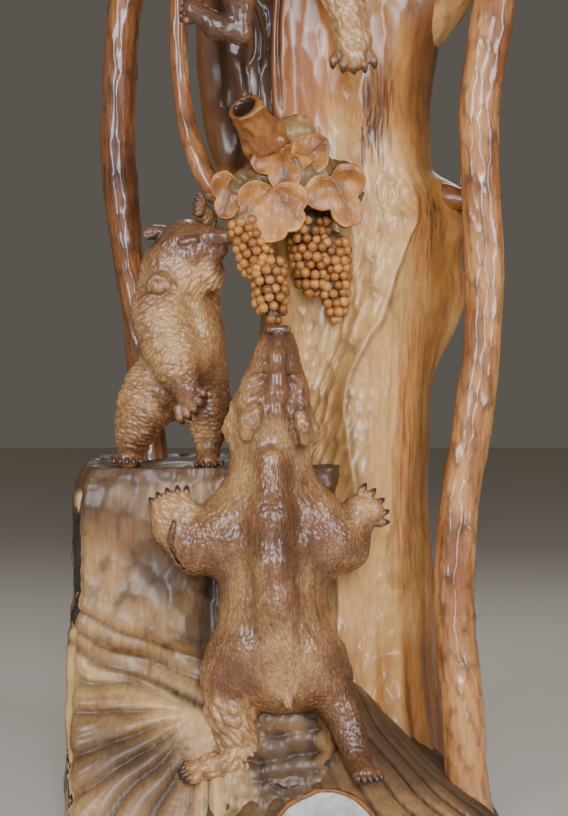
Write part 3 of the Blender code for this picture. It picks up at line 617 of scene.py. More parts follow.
# Rounded forms: (turn, height, rise, half width in degrees, half height, how sharply the height ends it).
TRUNK_FORMS = {
    "hollow_lip": (246, 1.47, 0.014, 7, 0.19, 2),
    "front_scoop": (262, 1.05, -0.026, 22, 0.21, 2),
    "burl_top": (-4, 1.10, 0.058, 24, 0.085, 2),
    "burl_foot": (-2, 1.00, 0.044, 22, 0.085, 2),
    "vine_shoulder": (-2, 1.230, 0.068, 20, 0.055, 4),
    "shoulder_foot": (-2, 1.165, 0.030, 20, 0.030, 2),
    "upper_flare": (-12, 1.67, 0.075, 20, 0.085, 2),
    "paw_shelf": (-68, 1.42, 0.012, 14, 0.06, 2),
}
# The long crest: its turn at each height, its rise, how fast it falls away to the left and to the right in
# degrees, and the heights between which it fades in and out.
CREST = [(0.50, -84), (0.65, -84), (0.92, -87), (1.003, -74), (1.115, -62), (1.216, -44), (1.36, -40), (1.55, -36)]
CREST_RISE = 0.034
CREST_LEFT_WIDTH, CREST_RIGHT_WIDTH = 7.0, 15.0
CREST_FOOT, CREST_HEAD = (0.45, 0.62), (1.18, 1.34)
CRACK_TURN = -111
TRUNK_RADIUS = 0.18  # a middling one, that turns degrees round the trunk into metres


def trunk_face(turn, height):
    """Reach of the trunk: an ellipse whose middle and half axes follow the sections, plus rounded forms,
    the long crest with its scooped left side, the flutes of the hollow, and gouge cuts."""
    _, _, half_width, half_depth = np.moveaxis(read_table(TRUNK_SECTIONS, height), -1, 0)
    cos, sin = np.cos(np.radians(turn)), np.sin(np.radians(turn))
    reach = 1 / np.sqrt((cos / half_width) ** 2 + (sin / half_depth) ** 2)
    around = np.radians(turn) * TRUNK_RADIUS
    spot = np.stack([around, 0 * around, height], axis=-1)

    # The left hollow, chopped out and fluted
    hollow = bell(turn_off(turn, 212), 0, 28, 6) * bell(height, 1.49, 0.19, 6)
    channels = np.abs(np.sin(np.radians(turn) * 14 + 6.0 * height + 0.5 * noise(spot, 0.10, 22)))
    chopped = gouge_marks(height + 0.2 * around, around, 0.110, 0.036, seed=23)
    forms = -0.070 * hollow + hollow * (0.008 * (0.6 - channels) + 0.034 * (chopped - 0.3))
    for at, level, rise, wide, tall, edge in TRUNK_FORMS.values():
        forms += rise * bell(turn_off(turn, at), 0, wide) * bell(height, level, tall, edge)

    # The long crest, and the slanted cuts down its left side
    off = turn_off(turn, read_table(CREST, height)[..., 0]) + 2.0 * noise(spot, 0.05, 3)
    runs = eased(*CREST_FOOT, height) * (1 - eased(*CREST_HEAD, height))
    forms += CREST_RISE * runs * np.exp(-np.abs(off) / np.where(off < 0, CREST_LEFT_WIDTH, CREST_RIGHT_WIDTH))
    band = bell(off, -12, 13) * eased(0.60, 0.75, height) * (1 - eased(1.22, 1.32, height))
    slanted = gouge_marks(height + 0.55 * around, around - 0.35 * height, 0.062, 0.020, seed=31)
    forms += 0.019 * band * (slanted - 0.3)

    # A drying crack, and the gouge cuts of each side
    crack = bell(turn_off(turn, CRACK_TURN) + 2.0 * noise(spot, 0.08, 9), 0, 1.3) * eased(1.38, 1.44, height)
    forms -= 0.008 * crack
    pared = gouge_marks(height, around, 0.150, 0.020, seed=41)
    beyond = eased(4, 14, off) * eased(0.45, 0.6, height)
    forms += 0.0028 * beyond * (pared - 0.25)
    scoop = bell(turn_off(turn, 258), 0, 30, 4) * bell(height, 1.00, 0.30, 4) * (1 - band)
    scallops = gouge_marks(height + 0.1 * around, around, 0.027, 0.019, seed=42)
    forms += 0.0034 * scoop * (scallops - 0.25)
    shallow = gouge_marks(height + 0.25 * around, around, 0.062, 0.026, seed=43)
    forms += 0.0030 * (1 - band) * (1 - scoop) * (1 - beyond) * (shallow - 0.3)
    lower = bell(turn_off(turn, -62), 0, 24) * (1 - eased(0.55, 0.72, height))
    scoops = gouge_marks(height - 0.2 * around, around, 0.040, 0.030, seed=51)
    forms += 0.007 * lower * (scoops - 0.3)

    # Folds where the foot runs into the roots
    foot = 1 - eased(0.16, 0.42, height)
    folds = np.abs(np.sin(np.radians(turn) * 11 + 7 * height))
    forms += 0.020 * foot * (folds - 0.5)
    forms += 0.0045 * noise(spot, 0.11, 7)

    # Painted shade in the chopped-out hollow, and a painted shadow line just right of the crest; the other terms darken
    # the gouge cuts, the crack and the valleys of the folds.
    dark = np.clip(0.30 * hollow + 0.35 * hollow * channels + 0.9 * crack, 0, 1) + 0.55 * runs * bell(off, 2.5, 2.0)
    dark += 0.32 * scoop * eased(0.24, 0.42, scallops) + 0.5 * band * eased(0.26, 0.45, slanted)
    dark += 0.25 * beyond * eased(0.24, 0.42, pared)
    dark += 0.8 * foot * eased(0.25, 0.0, folds)
    return reach + forms - 0.002, band, hollow, dark, off


def make_trunk():
    columns = 250
    lap = np.linspace(0, 1, columns, endpoint=False)
    turn = -90 + 360 * (lap - 0.5) - 24 * np.sin(2 * math.pi * (lap - 0.5))
    height = np.r_[np.linspace(TRUNK_SECTIONS[0][0] + 0.022, 0.24, 16, endpoint=False),
                   np.linspace(0.24, TRUNK_TOP, 284)]
    turns, heights = np.meshgrid(turn, height)
    reach, band, hollow, dark, off = trunk_face(turns, heights)
    middle = read_table(TRUNK_SECTIONS, heights)
    x = middle[..., 0] + reach * np.cos(np.radians(turns))
    y = middle[..., 1] + reach * np.sin(np.radians(turns))
    rings = np.stack([x, y, heights], axis=-1)
    crown = [rings]
    centre = rings[-1].mean(axis=0)
    for shrink, rise in ((0.98, 0.006), (0.90, 0.012), (0.75, 0.018), (0.5, 0.022), (0.25, 0.024)):
        ring = centre + (rings[-1] - centre) * shrink + (0, 0, rise)
        ring[:, 2] += 0.002 * noise(ring, 0.03, 61)
        crown.append(ring[None])
    rings = np.concatenate(crown)
    extend = lambda layer: np.concatenate([layer, np.repeat(layer[-1:], len(crown) - 1, axis=0)])
    around = np.radians(turns) * TRUNK_RADIUS
    lay = np.stack([extend(heights), extend(around), 0 * extend(around)], axis=-1)
    orange = 0.50 * bell(turn_off(turns, -42), 0, 10) * eased(0.3, 0.6, heights) * (1 - eased(1.2, 1.35, heights))
    orange += 0.50 * bell(turn_off(turns, -52), 0, 5) * bell(heights, 0.75, 0.22)
    orange += 0.80 * bell(turn_off(turns, -104), 0, 22) * eased(1.33, 1.42, heights)
    orange += 0.55 * bell(turn_off(turns, -14), 0, 12) * bell(heights, 0.50, 0.22)
    patch = bell((x - 0.172 - 0.12 * (heights - 1.38)) / 0.036, 0, 1, 4) * bell(heights, 1.395, 0.105, 4) * (y < 0.1)
    purple = 0.62 * patch + 0.42 * bell(turn_off(turns, -30), 0, 10) * bell(heights, 1.18, 0.12)
    streak = np.stack([around, 0 * around, heights * 0.12], axis=-1)
    # Painted shade: the hollow is made darker in tone here, and its upper left wall again through `shade` below.
    tone = 0.15 + 0.20 * noise(streak, 0.02, 73) + 0.70 * hollow + 0.36 * eased(-58, -15, turns) * (turns < 40)
    shade = bell(turn_off(turns, 204), 0, 42, 4) * eased(1.27, 1.33, heights)
    tone += 0.55 * shade + 0.3 * bell(turn_off(turns, 90), 0, 80) + 0.46 * eased(1.28, 1.46, heights)
    # Painted highlight: the left face of the crest is made paler, as if lit from the left; the side right of the crest
    # is made a little paler too.
    tone += -0.30 * band - 0.14 * bell(off, 20, 22)
    tone += 0.45 * (1 - eased(0.20, 0.50, heights))
    # Painted light: a paler patch on the front of the trunk beside the large bear's head, where the bear casts its
    # shade.
    tone -= 0.28 * bell(turn_off(turns, 264), 0, 26) * bell(heights, 0.93, 0.25)
    layers = {"lay": lay, "tone": extend(tone), "cavity": extend(np.clip(dark + 0.35 * shade, 0, 1)),
              "orange": extend(orange), "purple": extend(purple), "char_and_shade": extend(0 * tone)}
    closed_tube("trunk", rings, HONEY_WOOD, layers)


# The block under the small bear, and the root base

# The block: height, left, right, front, back.
BLOCK_SECTIONS = [
    (0.004, -0.403, 0.100, -0.330, 0.240), (0.08, -0.405, 0.100, -0.305, 0.238), (0.20, -0.408, 0.100, -0.245, 0.234),
    (0.30, -0.411, 0.100, -0.185, 0.228), (0.385, -0.412, 0.100, -0.128, 0.222), (0.415, -0.408, 0.100, -0.136, 0.216),
    (0.55, -0.398, 0.100, -0.118, 0.210), (0.705, -0.385, 0.100, -0.115, 0.200), (0.735, -0.373, 0.100, -0.103, 0.188),
]


def squared(turn, left, right, front, back, squareness):
    """A ring between four sides: each coordinate's share to the power `squareness` sums to one."""
    cos, sin = np.cos(np.radians(turn)), np.sin(np.radians(turn))
    reach = (np.abs(cos) ** squareness + np.abs(sin) ** squareness) ** (-1 / squareness)
    return (left + right) / 2 + (right - left) / 2 * reach * cos, (front + back) / 2 + (back - front) / 2 * reach * sin


BLOCK_CORNER = 222  # turn of the upright front edge that is charred
FAN_CENTRE = (-0.150, 0.300)  # x and height that the flutes fan out from


def make_block():
    """Sides that follow the sections, with a knobbly stained rim, strata sweeping down to the bear's leg, and
    under the last of them flutes that fan out from one point."""
    columns, rows = 236, 205
    turn = np.linspace(90, 450, columns, endpoint=False)
    height = np.linspace(BLOCK_SECTIONS[0][0], LEDGE_HEIGHT, rows)
    turns, heights = np.meshgrid(turn, height)
    sides = np.moveaxis(read_table(BLOCK_SECTIONS, heights), -1, 0)
    x, y = squared(turns, *sides, 7.0)
    middle_x, middle_y = (sides[0] + sides[1]) / 2, (sides[2] + sides[3]) / 2
    out = np.stack([x - middle_x, y - middle_y], axis=-1)
    out /= np.linalg.norm(out, axis=-1, keepdims=True)
    level = 100  # the ring along which the way round the block is measured
    run = np.concatenate([[0], np.cumsum(np.hypot(np.diff(x[level]), np.diff(y[level])))])
    runs = np.broadcast_to(run, x.shape)
    spot = np.stack([x, y, heights], axis=-1)
    front = eased(0.25, 0.6, -out[..., 1])

    # A crease that sweeps down to the bear's leg, with strata above it and the fan of flutes below
    far_x, far_z = x - FAN_CENTRE[0], heights - FAN_CENTRE[1]
    crease_at = FAN_CENTRE[1] - 0.41 * np.minimum(far_x, 0.0) + 0.010 * noise(spot, 0.08, 108)
    low = 1 - eased(-0.012, 0.006, heights - crease_at)
    cuts = gouge_marks(heights + 0.3 * runs, runs, 0.050, 0.034, seed=101)
    cut = 0.0085 * (1 - low) * (cuts - 0.3) + 0.009 * noise(spot, 0.12, 102) + 0.003 * noise(spot, 0.04, 103)
    layer = np.abs(np.sin((heights - crease_at) / 0.036 * math.pi + 1.5 * noise(spot, 0.10, 109)))
    strata = bell(heights - crease_at, 0.050, 0.050, 4) * (1 - low) * front
    cut += 0.008 * strata * (layer - 0.6)
    angle = np.degrees(np.arctan2(-far_z, -far_x)) + 5.0 * noise(spot, 0.13, 115)
    fan = np.abs(np.sin(np.radians(angle * 11.0) + 1.3 * noise(spot, 0.09, 104)))
    fine = np.abs(np.sin(np.radians(angle * 41.0) + 2.0 * noise(spot, 0.07, 110)))
    from_centre = eased(0.01, 0.12, np.hypot(far_x, far_z))
    under = eased(-0.125, -0.085, x)
    scales = gouge_marks(heights, runs, 0.032, 0.044, seed=114)
    fluted = low * front * from_centre * (1 - under) * eased(-0.404, -0.372, x)
    cut += fluted * (0.019 * (fan ** 0.7 - 0.7) + 0.003 * (fine - 0.6)) + 0.026 * low * front * under * (scales - 0.3)

    # The recess beside the bear's back, the rough rim, and the charred corner
    recess = bell(x, -0.125, 0.035) * bell(heights, 0.50, 0.11) * front
    cut -= 0.020 * recess
    rim = eased(-0.052, -0.020, heights - LEDGE_HEIGHT + 0.026 * noise(spot, 0.06, 111))
    cut += (rim - 0.3) * 0.006 + rim * (0.010 * noise(spot, 0.045, 112) + 0.005 * noise(spot, 0.016, 116) - 0.003)
    corner = bell(turn_off(turns, BLOCK_CORNER) + 1.2 * noise(spot, 0.05, 117), 0, 2.0, 4) * (1 - 0.7 * rim)
    burnt = bell(heights, 0.550, 0.115, 10) + 0.62 * bell(heights, 0.17, 0.07, 8)
    char_and_shade = bell(turn_off(turns, BLOCK_CORNER - 7), 0, 7, 6) * burnt
    cut -= 0.010 * corner + char_and_shade * (0.004 + 0.006 * np.abs(noise(spot * (1, 1, 0.2), 0.010, 105)))
    cut *= eased(0.0, 0.03, heights)
    rings = np.stack([x + out[..., 0] * cut, y + out[..., 1] * cut, heights], axis=-1)

    # The ledge on top, closed by rings that shrink to its middle
    edge = rings[-1].copy()
    crown = [rings]
    centre = edge.mean(axis=0)
    shrinks = (0.985, 0.96, 0.93, 0.89, 0.84, 0.78, 0.7, 0.6, 0.45, 0.25)
    for shrink in shrinks:
        ring = centre + (edge - centre) * shrink
        dents = gouge_marks(ring[:, 0], ring[:, 1], 0.034, 0.026, seed=113)
        ring[:, 2] -= 0.001 + (0.010 * (0.35 - dents) + 0.003 * noise(ring, 0.02, 106)) * (shrink < 0.98)
        ring[:, 2] = np.minimum(ring[:, 2], LEDGE_HEIGHT)
        crown.append(ring[None])
    rings = np.concatenate(crown)
    top = np.ones((len(shrinks), columns))
    extend = lambda layer, value=None: np.concatenate([layer, top * (layer[-1:] if value is None else value)])
    # Painted shade: the recess beside the bear's back is darkened in tone here and in the cavity layer below.
    tone = 0.70 + 0.50 * noise(spot, 0.11, 107) + 0.15 * (1 - front) - 0.36 * low + 0.30 * low * under + 0.35 * recess
    tone += 0.30 * rim - 1.3 * corner * (1 - rim)
    cavity = 0.75 * recess + 0.65 * fluted * eased(0.75, 0.05, fan)
    cavity += 0.8 * low * front * under * eased(0.18, 0.42, scales)
    cavity += 0.65 * strata * eased(0.5, 0.0, layer)
    cavity += 0.45 * (1 - low) * (1 - rim) * eased(0.22, 0.42, cuts) * (1 - corner) + 0.30 * rim
    cavity += 0.7 * bell(heights - crease_at, 0, 0.010) * front
    lay = np.stack([extend(heights), extend(runs), 0 * extend(runs)], axis=-1)
    layers = {"lay": lay, "tone": extend(tone, 1.05), "cavity": extend(np.clip(cavity, 0, 1), 0.45),
              "orange": extend(0.20 * rim + 0.18 * bell(heights, 0.62, 0.06), 0.15),
              "purple": extend(0.10 * rim, 0.15), "char_and_shade": extend(char_and_shade, 0.0)}
    closed_tube("left_block", rings, ROOT_WOOD, layers)


# The base: left, right, front and back at the floor, its height, and how far it draws in over its height.
BASE_SIDES = (-0.409, 0.421, -0.359, 0.331)
BASE_HEIGHT = 0.38
BASE_RADIUS = 0.25  # a middling one, that turns degrees round the base into metres
BASE_PROFILE = [(0.0, 1.0), (0.12, 0.985), (0.26, 0.91), (0.42, 0.73), (0.62, 0.51), (0.82, 0.35), (1.0, 0.12)]


def make_base():
    """Rings that draw in as they rise, cut by flutes that lean and wander, and by scales below the large bear."""
    columns, rows = 400, 110
    turn = np.linspace(90, 450, columns, endpoint=False)
    share = np.linspace(0, 1, rows)
    turns, shares = np.meshgrid(turn, share)
    x, y = squared(turns, *BASE_SIDES, 2.9)
    draw = read_table(BASE_PROFILE, shares)[..., 0]
    heights = shares * BASE_HEIGHT
    spot = np.stack([x * draw, y * draw, heights], axis=-1)
    bend = turns + 9 * np.sin(math.pi * shares) * np.clip(3 * np.cos(np.radians(turns)), -1, 1)
    bend += 9 * noise(spot, 0.16, 201)
    flutes = np.abs(np.sin(np.radians(bend) * 19)) ** 0.7
    between = bell(turn_off(turns, -88), 0, 17, 4) * eased(0.35, 0.55, shares)
    scales = gouge_marks(heights, np.radians(turns) * BASE_RADIUS, 0.030, 0.042, seed=202)
    fine = np.abs(np.sin(np.radians(bend) * 61 + 2 * noise(spot, 0.08, 205)))
    cut = 0.016 * (flutes - 0.75) + 0.003 * (fine - 0.7)
    cut = cut * np.sin(math.pi * np.minimum(1, shares + 0.18)) * (1 - between)
    cut += 0.034 * between * (scales - 0.3) + 0.008 * noise(spot, 0.09, 203)
    cut *= eased(0, 0.06, shares)
    scale = draw + cut / np.hypot(x, y)
    rings = np.stack([x * scale, y * scale, heights], axis=-1)
    tone = 0.80 + 0.40 * noise(spot, 0.12, 204) + 0.26 * between
    cavity = eased(0.50, 0.08, flutes) * (1 - between) + 0.9 * between * eased(0.16, 0.40, scales) + 0.12
    lay = np.stack([np.radians(turns) * BASE_RADIUS, shares * 0.4, 0 * turns], axis=-1)
    layers = {"lay": lay, "tone": tone, "cavity": np.clip(cavity, 0, 1)}
    closed_tube("root_base", rings, ROOT_WOOD, layers)


# Vines and branches, swept along a path

def make_vine(name, points, radius, material, columns, facet, seed, tone):
    """A round section carried along a smooth path: its radius follows the points' shares, and long gouge
    facets that wind slowly round it are cut into it."""
    path, run = smooth_path([(*place, radius * share) for place, share in points], 0.005)
    front, side = path_frames(path[:, :3])
    turn = np.linspace(-math.pi, math.pi, columns, endpoint=False)
    runs, turns = np.meshgrid(run, turn, indexing="ij")
    around = turns * radius
    cells = max(6, round(2 * math.pi * radius / 0.016))
    across = turns / (2 * math.pi) * cells + runs / 0.22
    marks = gouge_marks(runs / 0.050 + 0.35 * np.sin(turns), across, 1, 1, seed)
    out = np.cos(turns)[..., None] * front[:, None] + np.sin(turns)[..., None] * side[:, None]
    spot = path[:, None, :3] + radius * out
    reach = path[:, 3:4] + facet * (marks - 0.25) * 2.2 + 0.09 * radius * noise(spot * (1, 1, 0.5), 0.07, seed + 5)
    rings = path[:, None, :3] + reach[..., None] * out
    tones = tone + 0.30 * noise(spot * (1, 1, 0.3), 0.03, seed + 6)
    lay = np.stack([runs, around, 0 * runs], axis=-1)
    cavity = 0.55 * eased(0.20, 0.42, marks)
    closed_tube(name, rings, material, {"lay": lay, "tone": tones, "cavity": cavity})


# Routes: points, and the radius there as a share of the branch's own.
LEFT_VINE = [
    ((-0.262, 0.120, 0.700), 1.10), ((-0.268, 0.125, 0.790), 0.98), ((-0.284, 0.135, 0.980), 0.95),
    ((-0.310, 0.145, 1.140), 0.98), ((-0.327, 0.150, 1.300), 1.03), ((-0.325, 0.150, 1.435), 1.05),
    ((-0.311, 0.150, 1.627), 1.00), ((-0.270, 0.160, 1.740), 0.98), ((-0.170, 0.185, 1.815), 0.95),
    ((-0.045, 0.212, 1.802), 0.95),
]
THIN_VINE = [
    ((-0.070, -0.045, 1.168), 0.72), ((-0.098, -0.040, 1.208), 0.82), ((-0.131, -0.022, 1.250), 0.98),
    ((-0.160, 0.000, 1.305), 1.12), ((-0.184, 0.022, 1.380), 1.08), ((-0.198, 0.040, 1.480), 0.98),
    ((-0.201, 0.045, 1.610), 1.02), ((-0.185, 0.042, 1.750), 1.00), ((-0.150, 0.032, 1.850), 0.95),
    ((-0.095, 0.057, 1.932), 0.80),
]
RIGHT_VINE = [
    ((0.351, -0.085, 0.070), 1.20), ((0.342, -0.085, 0.160), 1.08), ((0.335, -0.075, 0.280), 1.00),
    ((0.325, -0.060, 0.410), 0.96), ((0.322, -0.045, 0.530), 0.95), ((0.335, -0.030, 0.670), 0.92),
    ((0.358, -0.020, 0.810), 0.94), ((0.376, -0.010, 0.980), 0.95), ((0.377, 0.000, 1.140), 0.96),
    ((0.369, 0.000, 1.300), 0.94), ((0.368, 0.000, 1.420), 0.95), ((0.392, 0.010, 1.570), 1.04),
    ((0.410, 0.030, 1.690), 0.98), ((0.404, 0.053, 1.800), 0.85),
]
RIGHT_FORK = [((0.200, 0.150, 1.530), 1.85), ((0.300, 0.110, 1.630), 1.55), ((0.392, 0.055, 1.735), 1.10)]
TOP_SNAG = [((0.060, 0.215, 1.560), 3.3), ((0.050, 0.225, 1.750), 2.2), ((0.036, 0.225, 1.852), 1.3)]
TWIG = [((0.250, 0.125, 1.252), 2.0), ((0.310, 0.102, 1.246), 1.6), ((0.360, 0.074, 1.236), 1.2)]
CUT_BRANCH = [((-0.004, 0.020, 1.316), 1.60), ((-0.030, -0.040, 1.334), 1.42), ((-0.052, -0.088, 1.364), 1.12),
              ((-0.072, -0.120, 1.392), 0.98)]


def make_cut_branch():
    """A short limb with a sawn end round a rotten hollow: the section runs out to the rim, turns in over it
    and down the hole."""
    radius, columns = 0.033, 56
    path, run = smooth_path([(*place, radius * share) for place, share in CUT_BRANCH], 0.004)
    front, side = path_frames(path[:, :3])
    ahead = path[-1, :3] - path[-2, :3]
    ahead /= np.linalg.norm(ahead)
    turn = np.linspace(-math.pi, math.pi, columns, endpoint=False)
    runs, turns = np.meshgrid(run, turn, indexing="ij")
    marks = gouge_marks(runs, turns / (2 * math.pi) * 9, 0.030, 1, seed=301, around=9)
    knots = noise(np.stack([runs, np.cos(turns) * radius, np.sin(turns) * radius], axis=-1), 0.022, 304)
    reach = path[:, 3:4] + 0.013 * (marks - 0.3) + 0.006 * knots
    out = lambda k: np.cos(turn)[:, None] * front[k] + np.sin(turn)[:, None] * side[k]
    ring = lambda centre, k, far: centre + far[:, None] * out(k)
    rings = [ring(path[k, :3], k, reach[k]) for k in range(len(path))]
    ragged = 1 + 0.12 * noise(np.stack([np.cos(turn), np.sin(turn), 0 * turn], axis=1), 0.7, 302)
    for far, deep in ((0.031, 0.002), (0.026, 0.0025), (0.0205, 0.001), (0.0180, -0.008), (0.0165, -0.020),
                      (0.0140, -0.036)):
        rings.append(ring(path[-1, :3] + ahead * deep, -1, far * (ragged if far < 0.024 else 1 + 0 * ragged)))
    rings = np.array(rings)
    count = len(rings)
    # Painted shade: the rings that turn in over the rim and down the hole are darkened to near black, through the
    # cavity layer and the char layer.
    dark = np.repeat(np.r_[np.zeros(len(path)), 0.1, 0.25, 0.8, 1, 1, 1][:, None], columns, axis=1)
    tone = 0.86 + 0.25 * noise(rings, 0.02, 303)
    lay = np.stack([np.repeat(np.arange(count)[:, None] * 0.004, columns, axis=1),
                    np.repeat(turn[None] * radius, count, axis=0), 0 * tone], axis=-1)
    closed_tube("cut_branch", rings, HONEY_WOOD, {"lay": lay, "tone": tone, "cavity": dark, "char_and_shade": dark ** 2,
                                                  "orange": 0.30 + 0 * dark})


ROOT_RADIUS = 0.1035
FLOOR_GAP = 0.001


def make_root_stub():
    """The sawn root that points to the front: a round log with a lumpy bark rim, and its leaning flat end."""
    start, face = np.array((0.078, -0.180, 0.045)), np.array((0.071, -0.335, 0.098))
    tilt = math.radians(36)
    ahead = np.array((0.0, -math.cos(tilt), math.sin(tilt)))
    side, up = np.array((1.0, 0.0, 0.0)), np.array((0.0, math.sin(tilt), math.cos(tilt)))
    columns = 120
    turn = np.linspace(0, 2 * math.pi, columns, endpoint=False)
    circle = np.stack([np.cos(turn), np.sin(turn), 0 * turn], axis=1)
    flat = circle[:, :1] * side + circle[:, 1:2] * up
    lumps = 1 + 0.05 * noise(circle, 0.35, 311)
    rings, dark = [], []
    for share in np.linspace(0, 1, 26):
        far = ROOT_RADIUS * lumps + 0.004 * noise(circle + (0, 0, 3 * share), 0.2, 312)
        rings.append(start + (face - start) * share + far[:, None] * flat)
        dark.append(0.3)
    for far, deep, shade in ((0.1015, 0.002, 0.3), (0.098, 0.001, 0.45), (0.096, -0.012, 0.5)):
        rings.append(face + ahead * deep + (far * lumps)[:, None] * flat)
        dark.append(shade)
    rings = np.array(rings)
    rings[..., 2] = np.maximum(rings[..., 2], FLOOR_GAP)
    tone = np.full(rings.shape[:2], 0.55)
    cavity = np.repeat(np.array(dark)[:, None], columns, axis=1)
    lay = np.stack([np.repeat(np.arange(len(rings))[:, None] * 0.006, columns, axis=1),
                    np.repeat(turn[None] * 0.1, len(rings), axis=0), 0 * tone], axis=-1)
    closed_tube("root_stub", rings, HONEY_WOOD, {"lay": lay, "tone": tone, "cavity": cavity, "orange": 0.5 + 0 * tone})

    end = np.array([face + ahead * -0.0015 + (far * lumps)[:, None] * flat for far in np.linspace(0.0965, 0.004, 30)])
    end = end + ahead * (0.0012 * noise(end, 0.012, 313))[..., None]
    rings = np.concatenate([(end[0] - ahead * 0.012)[None], end])
    rings[..., 2] = np.maximum(rings[..., 2], FLOOR_GAP)
    splits = eased(0.45, 0.6, np.abs(noise(rings, 0.05, 314)))
    closed_tube("sawn_root_face", rings, END_WOOD,
                {"lay": rings, "tone": 0.35 + 0.3 * noise(rings, 0.02, 315), "cavity": 0.4 * splits})


# Leaves and grapes

LOBE_SPREAD = 2.1  # radians from the tip to the last lobe


def make_leaf(name, middle, tip, face, length, width, lobes, roundness, seed):
    """A lobed blade over turn and share of the way out. Its reach is the widest of a few round lobes, which
    meet in notches; the blade swells between veins that run from the stalk to each lobe, and its rim is thin
    and turned up."""
    along = np.array(tip, float) / np.linalg.norm(tip)
    out = np.array(face, float) - along * np.dot(face, along)
    out /= np.linalg.norm(out)
    across = np.cross(out, along)
    columns, rows = 136, 26
    turn = np.linspace(-math.pi, math.pi, columns, endpoint=False)
    share = np.r_[np.linspace(0.03, 1, rows), 1.0, 0.96, 0.6]
    turns, shares = np.meshgrid(turn, share)
    spread = np.linspace(-LOBE_SPREAD, LOBE_SPREAD, lobes)
    wide = math.degrees(roundness * LOBE_SPREAD / (lobes - 1))
    reach = np.max([(1.0 - 0.06 * (number % 2)) * bell(np.degrees(turns), math.degrees(lobe), wide)
                    for number, lobe in enumerate(spread)], axis=0)
    reach = np.maximum(reach, 0.52) * length / 2 * shares * (1 + 0.014 * np.sin(turns * 13 + seed) * shares)
    u, v = np.cos(turns) * reach, np.sin(turns) * reach * width
    stalk = -0.30 * length
    veins, swells = np.zeros(u.shape), np.zeros(u.shape)
    for lobe in spread:
        way = math.atan2(math.sin(lobe) * width * length / 2, math.cos(lobe) * length / 2 - stalk)
        forward = (u - stalk) * math.cos(way) + v * math.sin(way)
        aside = v * math.cos(way) - (u - stalk) * math.sin(way)
        ahead = (forward > 0) * (1 - eased(0.75, 0.98, shares))
        veins = np.maximum(veins, bell(aside, 0, 0.0011) * ahead)
        side = np.abs(np.sin((forward - 1.3 * np.abs(aside)) * 230.0))
        veins = np.maximum(veins, 0.55 * eased(0.22, 0.0, side) * ahead * bell(aside, 0, 0.020, 4))
        swells = np.maximum(swells, bell(aside, 0, 0.013) * ahead)
    waves = 0.0045 * noise(np.stack([u, v, 0 * u + seed], axis=-1), 0.025, seed)
    rise = -0.16 * (u * u + v * v) / length * 2.2 + waves - 0.0012 * veins - 0.0034 * swells
    rise += 0.0014 * bell(shares, 0.97, 0.04)
    back = np.arange(len(share)) >= rows
    rise = rise - np.where(back, 0.011, 0)[:, None]
    rings = np.array(middle) + u[..., None] * along + v[..., None] * across + (rise + 0.007)[..., None] * out
    tone = 0.46 + 0.35 * noise(rings, 0.025, seed + 1) - 0.16 * bell(shares, 0.97, 0.03) + 0.15 * swells
    # Painted shade: the back rows, under the blade, are darkened almost to the groove colour through the cavity layer.
    cavity = np.clip(0.36 * veins + back[:, None] * 0.9 + 0.10 * swells, 0, 1)
    lay = np.stack([u, v, 0 * u], axis=-1)
    closed_tube(name, rings[::-1], LEAF_WOOD, {"lay": lay[::-1], "tone": tone[::-1], "cavity": cavity[::-1]})


# Bunches: middle of the top, middle of the foot, and the radius at each.
BUNCHES = [
    ((-0.068, -0.075, 1.185), (-0.042, -0.092, 1.085), 0.030, 0.027),
    ((-0.032, -0.085, 1.105), (-0.020, -0.118, 1.008), 0.031, 0.022),
    ((0.046, -0.030, 1.190), (0.050, -0.032, 1.060), 0.036, 0.028),
    ((0.090, -0.026, 1.150), (0.100, -0.028, 1.008), 0.029, 0.016),
]
GRAPE = 0.0094  # radius
BALL_RINGS, BALL_SIDES = 8, 14


def grape_places():
    """Rings of grapes round each bunch's tapering core, each ring turned half a grape from the last."""
    places = []
    for number, (top, foot, top_width, foot_width) in enumerate(BUNCHES):
        top, foot = Vector(top), Vector(foot)
        axis = foot - top
        rows = max(2, round(axis.length / (GRAPE * 1.70)))
        side = axis.cross(Vector((0, 1, 0))).normalized()
        out = axis.cross(side).normalized()
        for row in range(rows + 1):
            share = row / rows
            width = top_width + (foot_width - top_width) * share
            width *= math.sqrt(max(0.08, 1 - max(0.0, share - 0.7) ** 2 / 0.1))
            count = max(3, round(2 * math.pi * width / (2 * GRAPE)))
            for i in range(count):
                turn = 2 * math.pi * (i + 0.5 * (row % 2)) / count
                way = side * math.cos(turn) + out * math.sin(turn)
                if way.y < 0.5:
                    places.append((*(top + axis * share + way * width), number))
    return np.array(places)


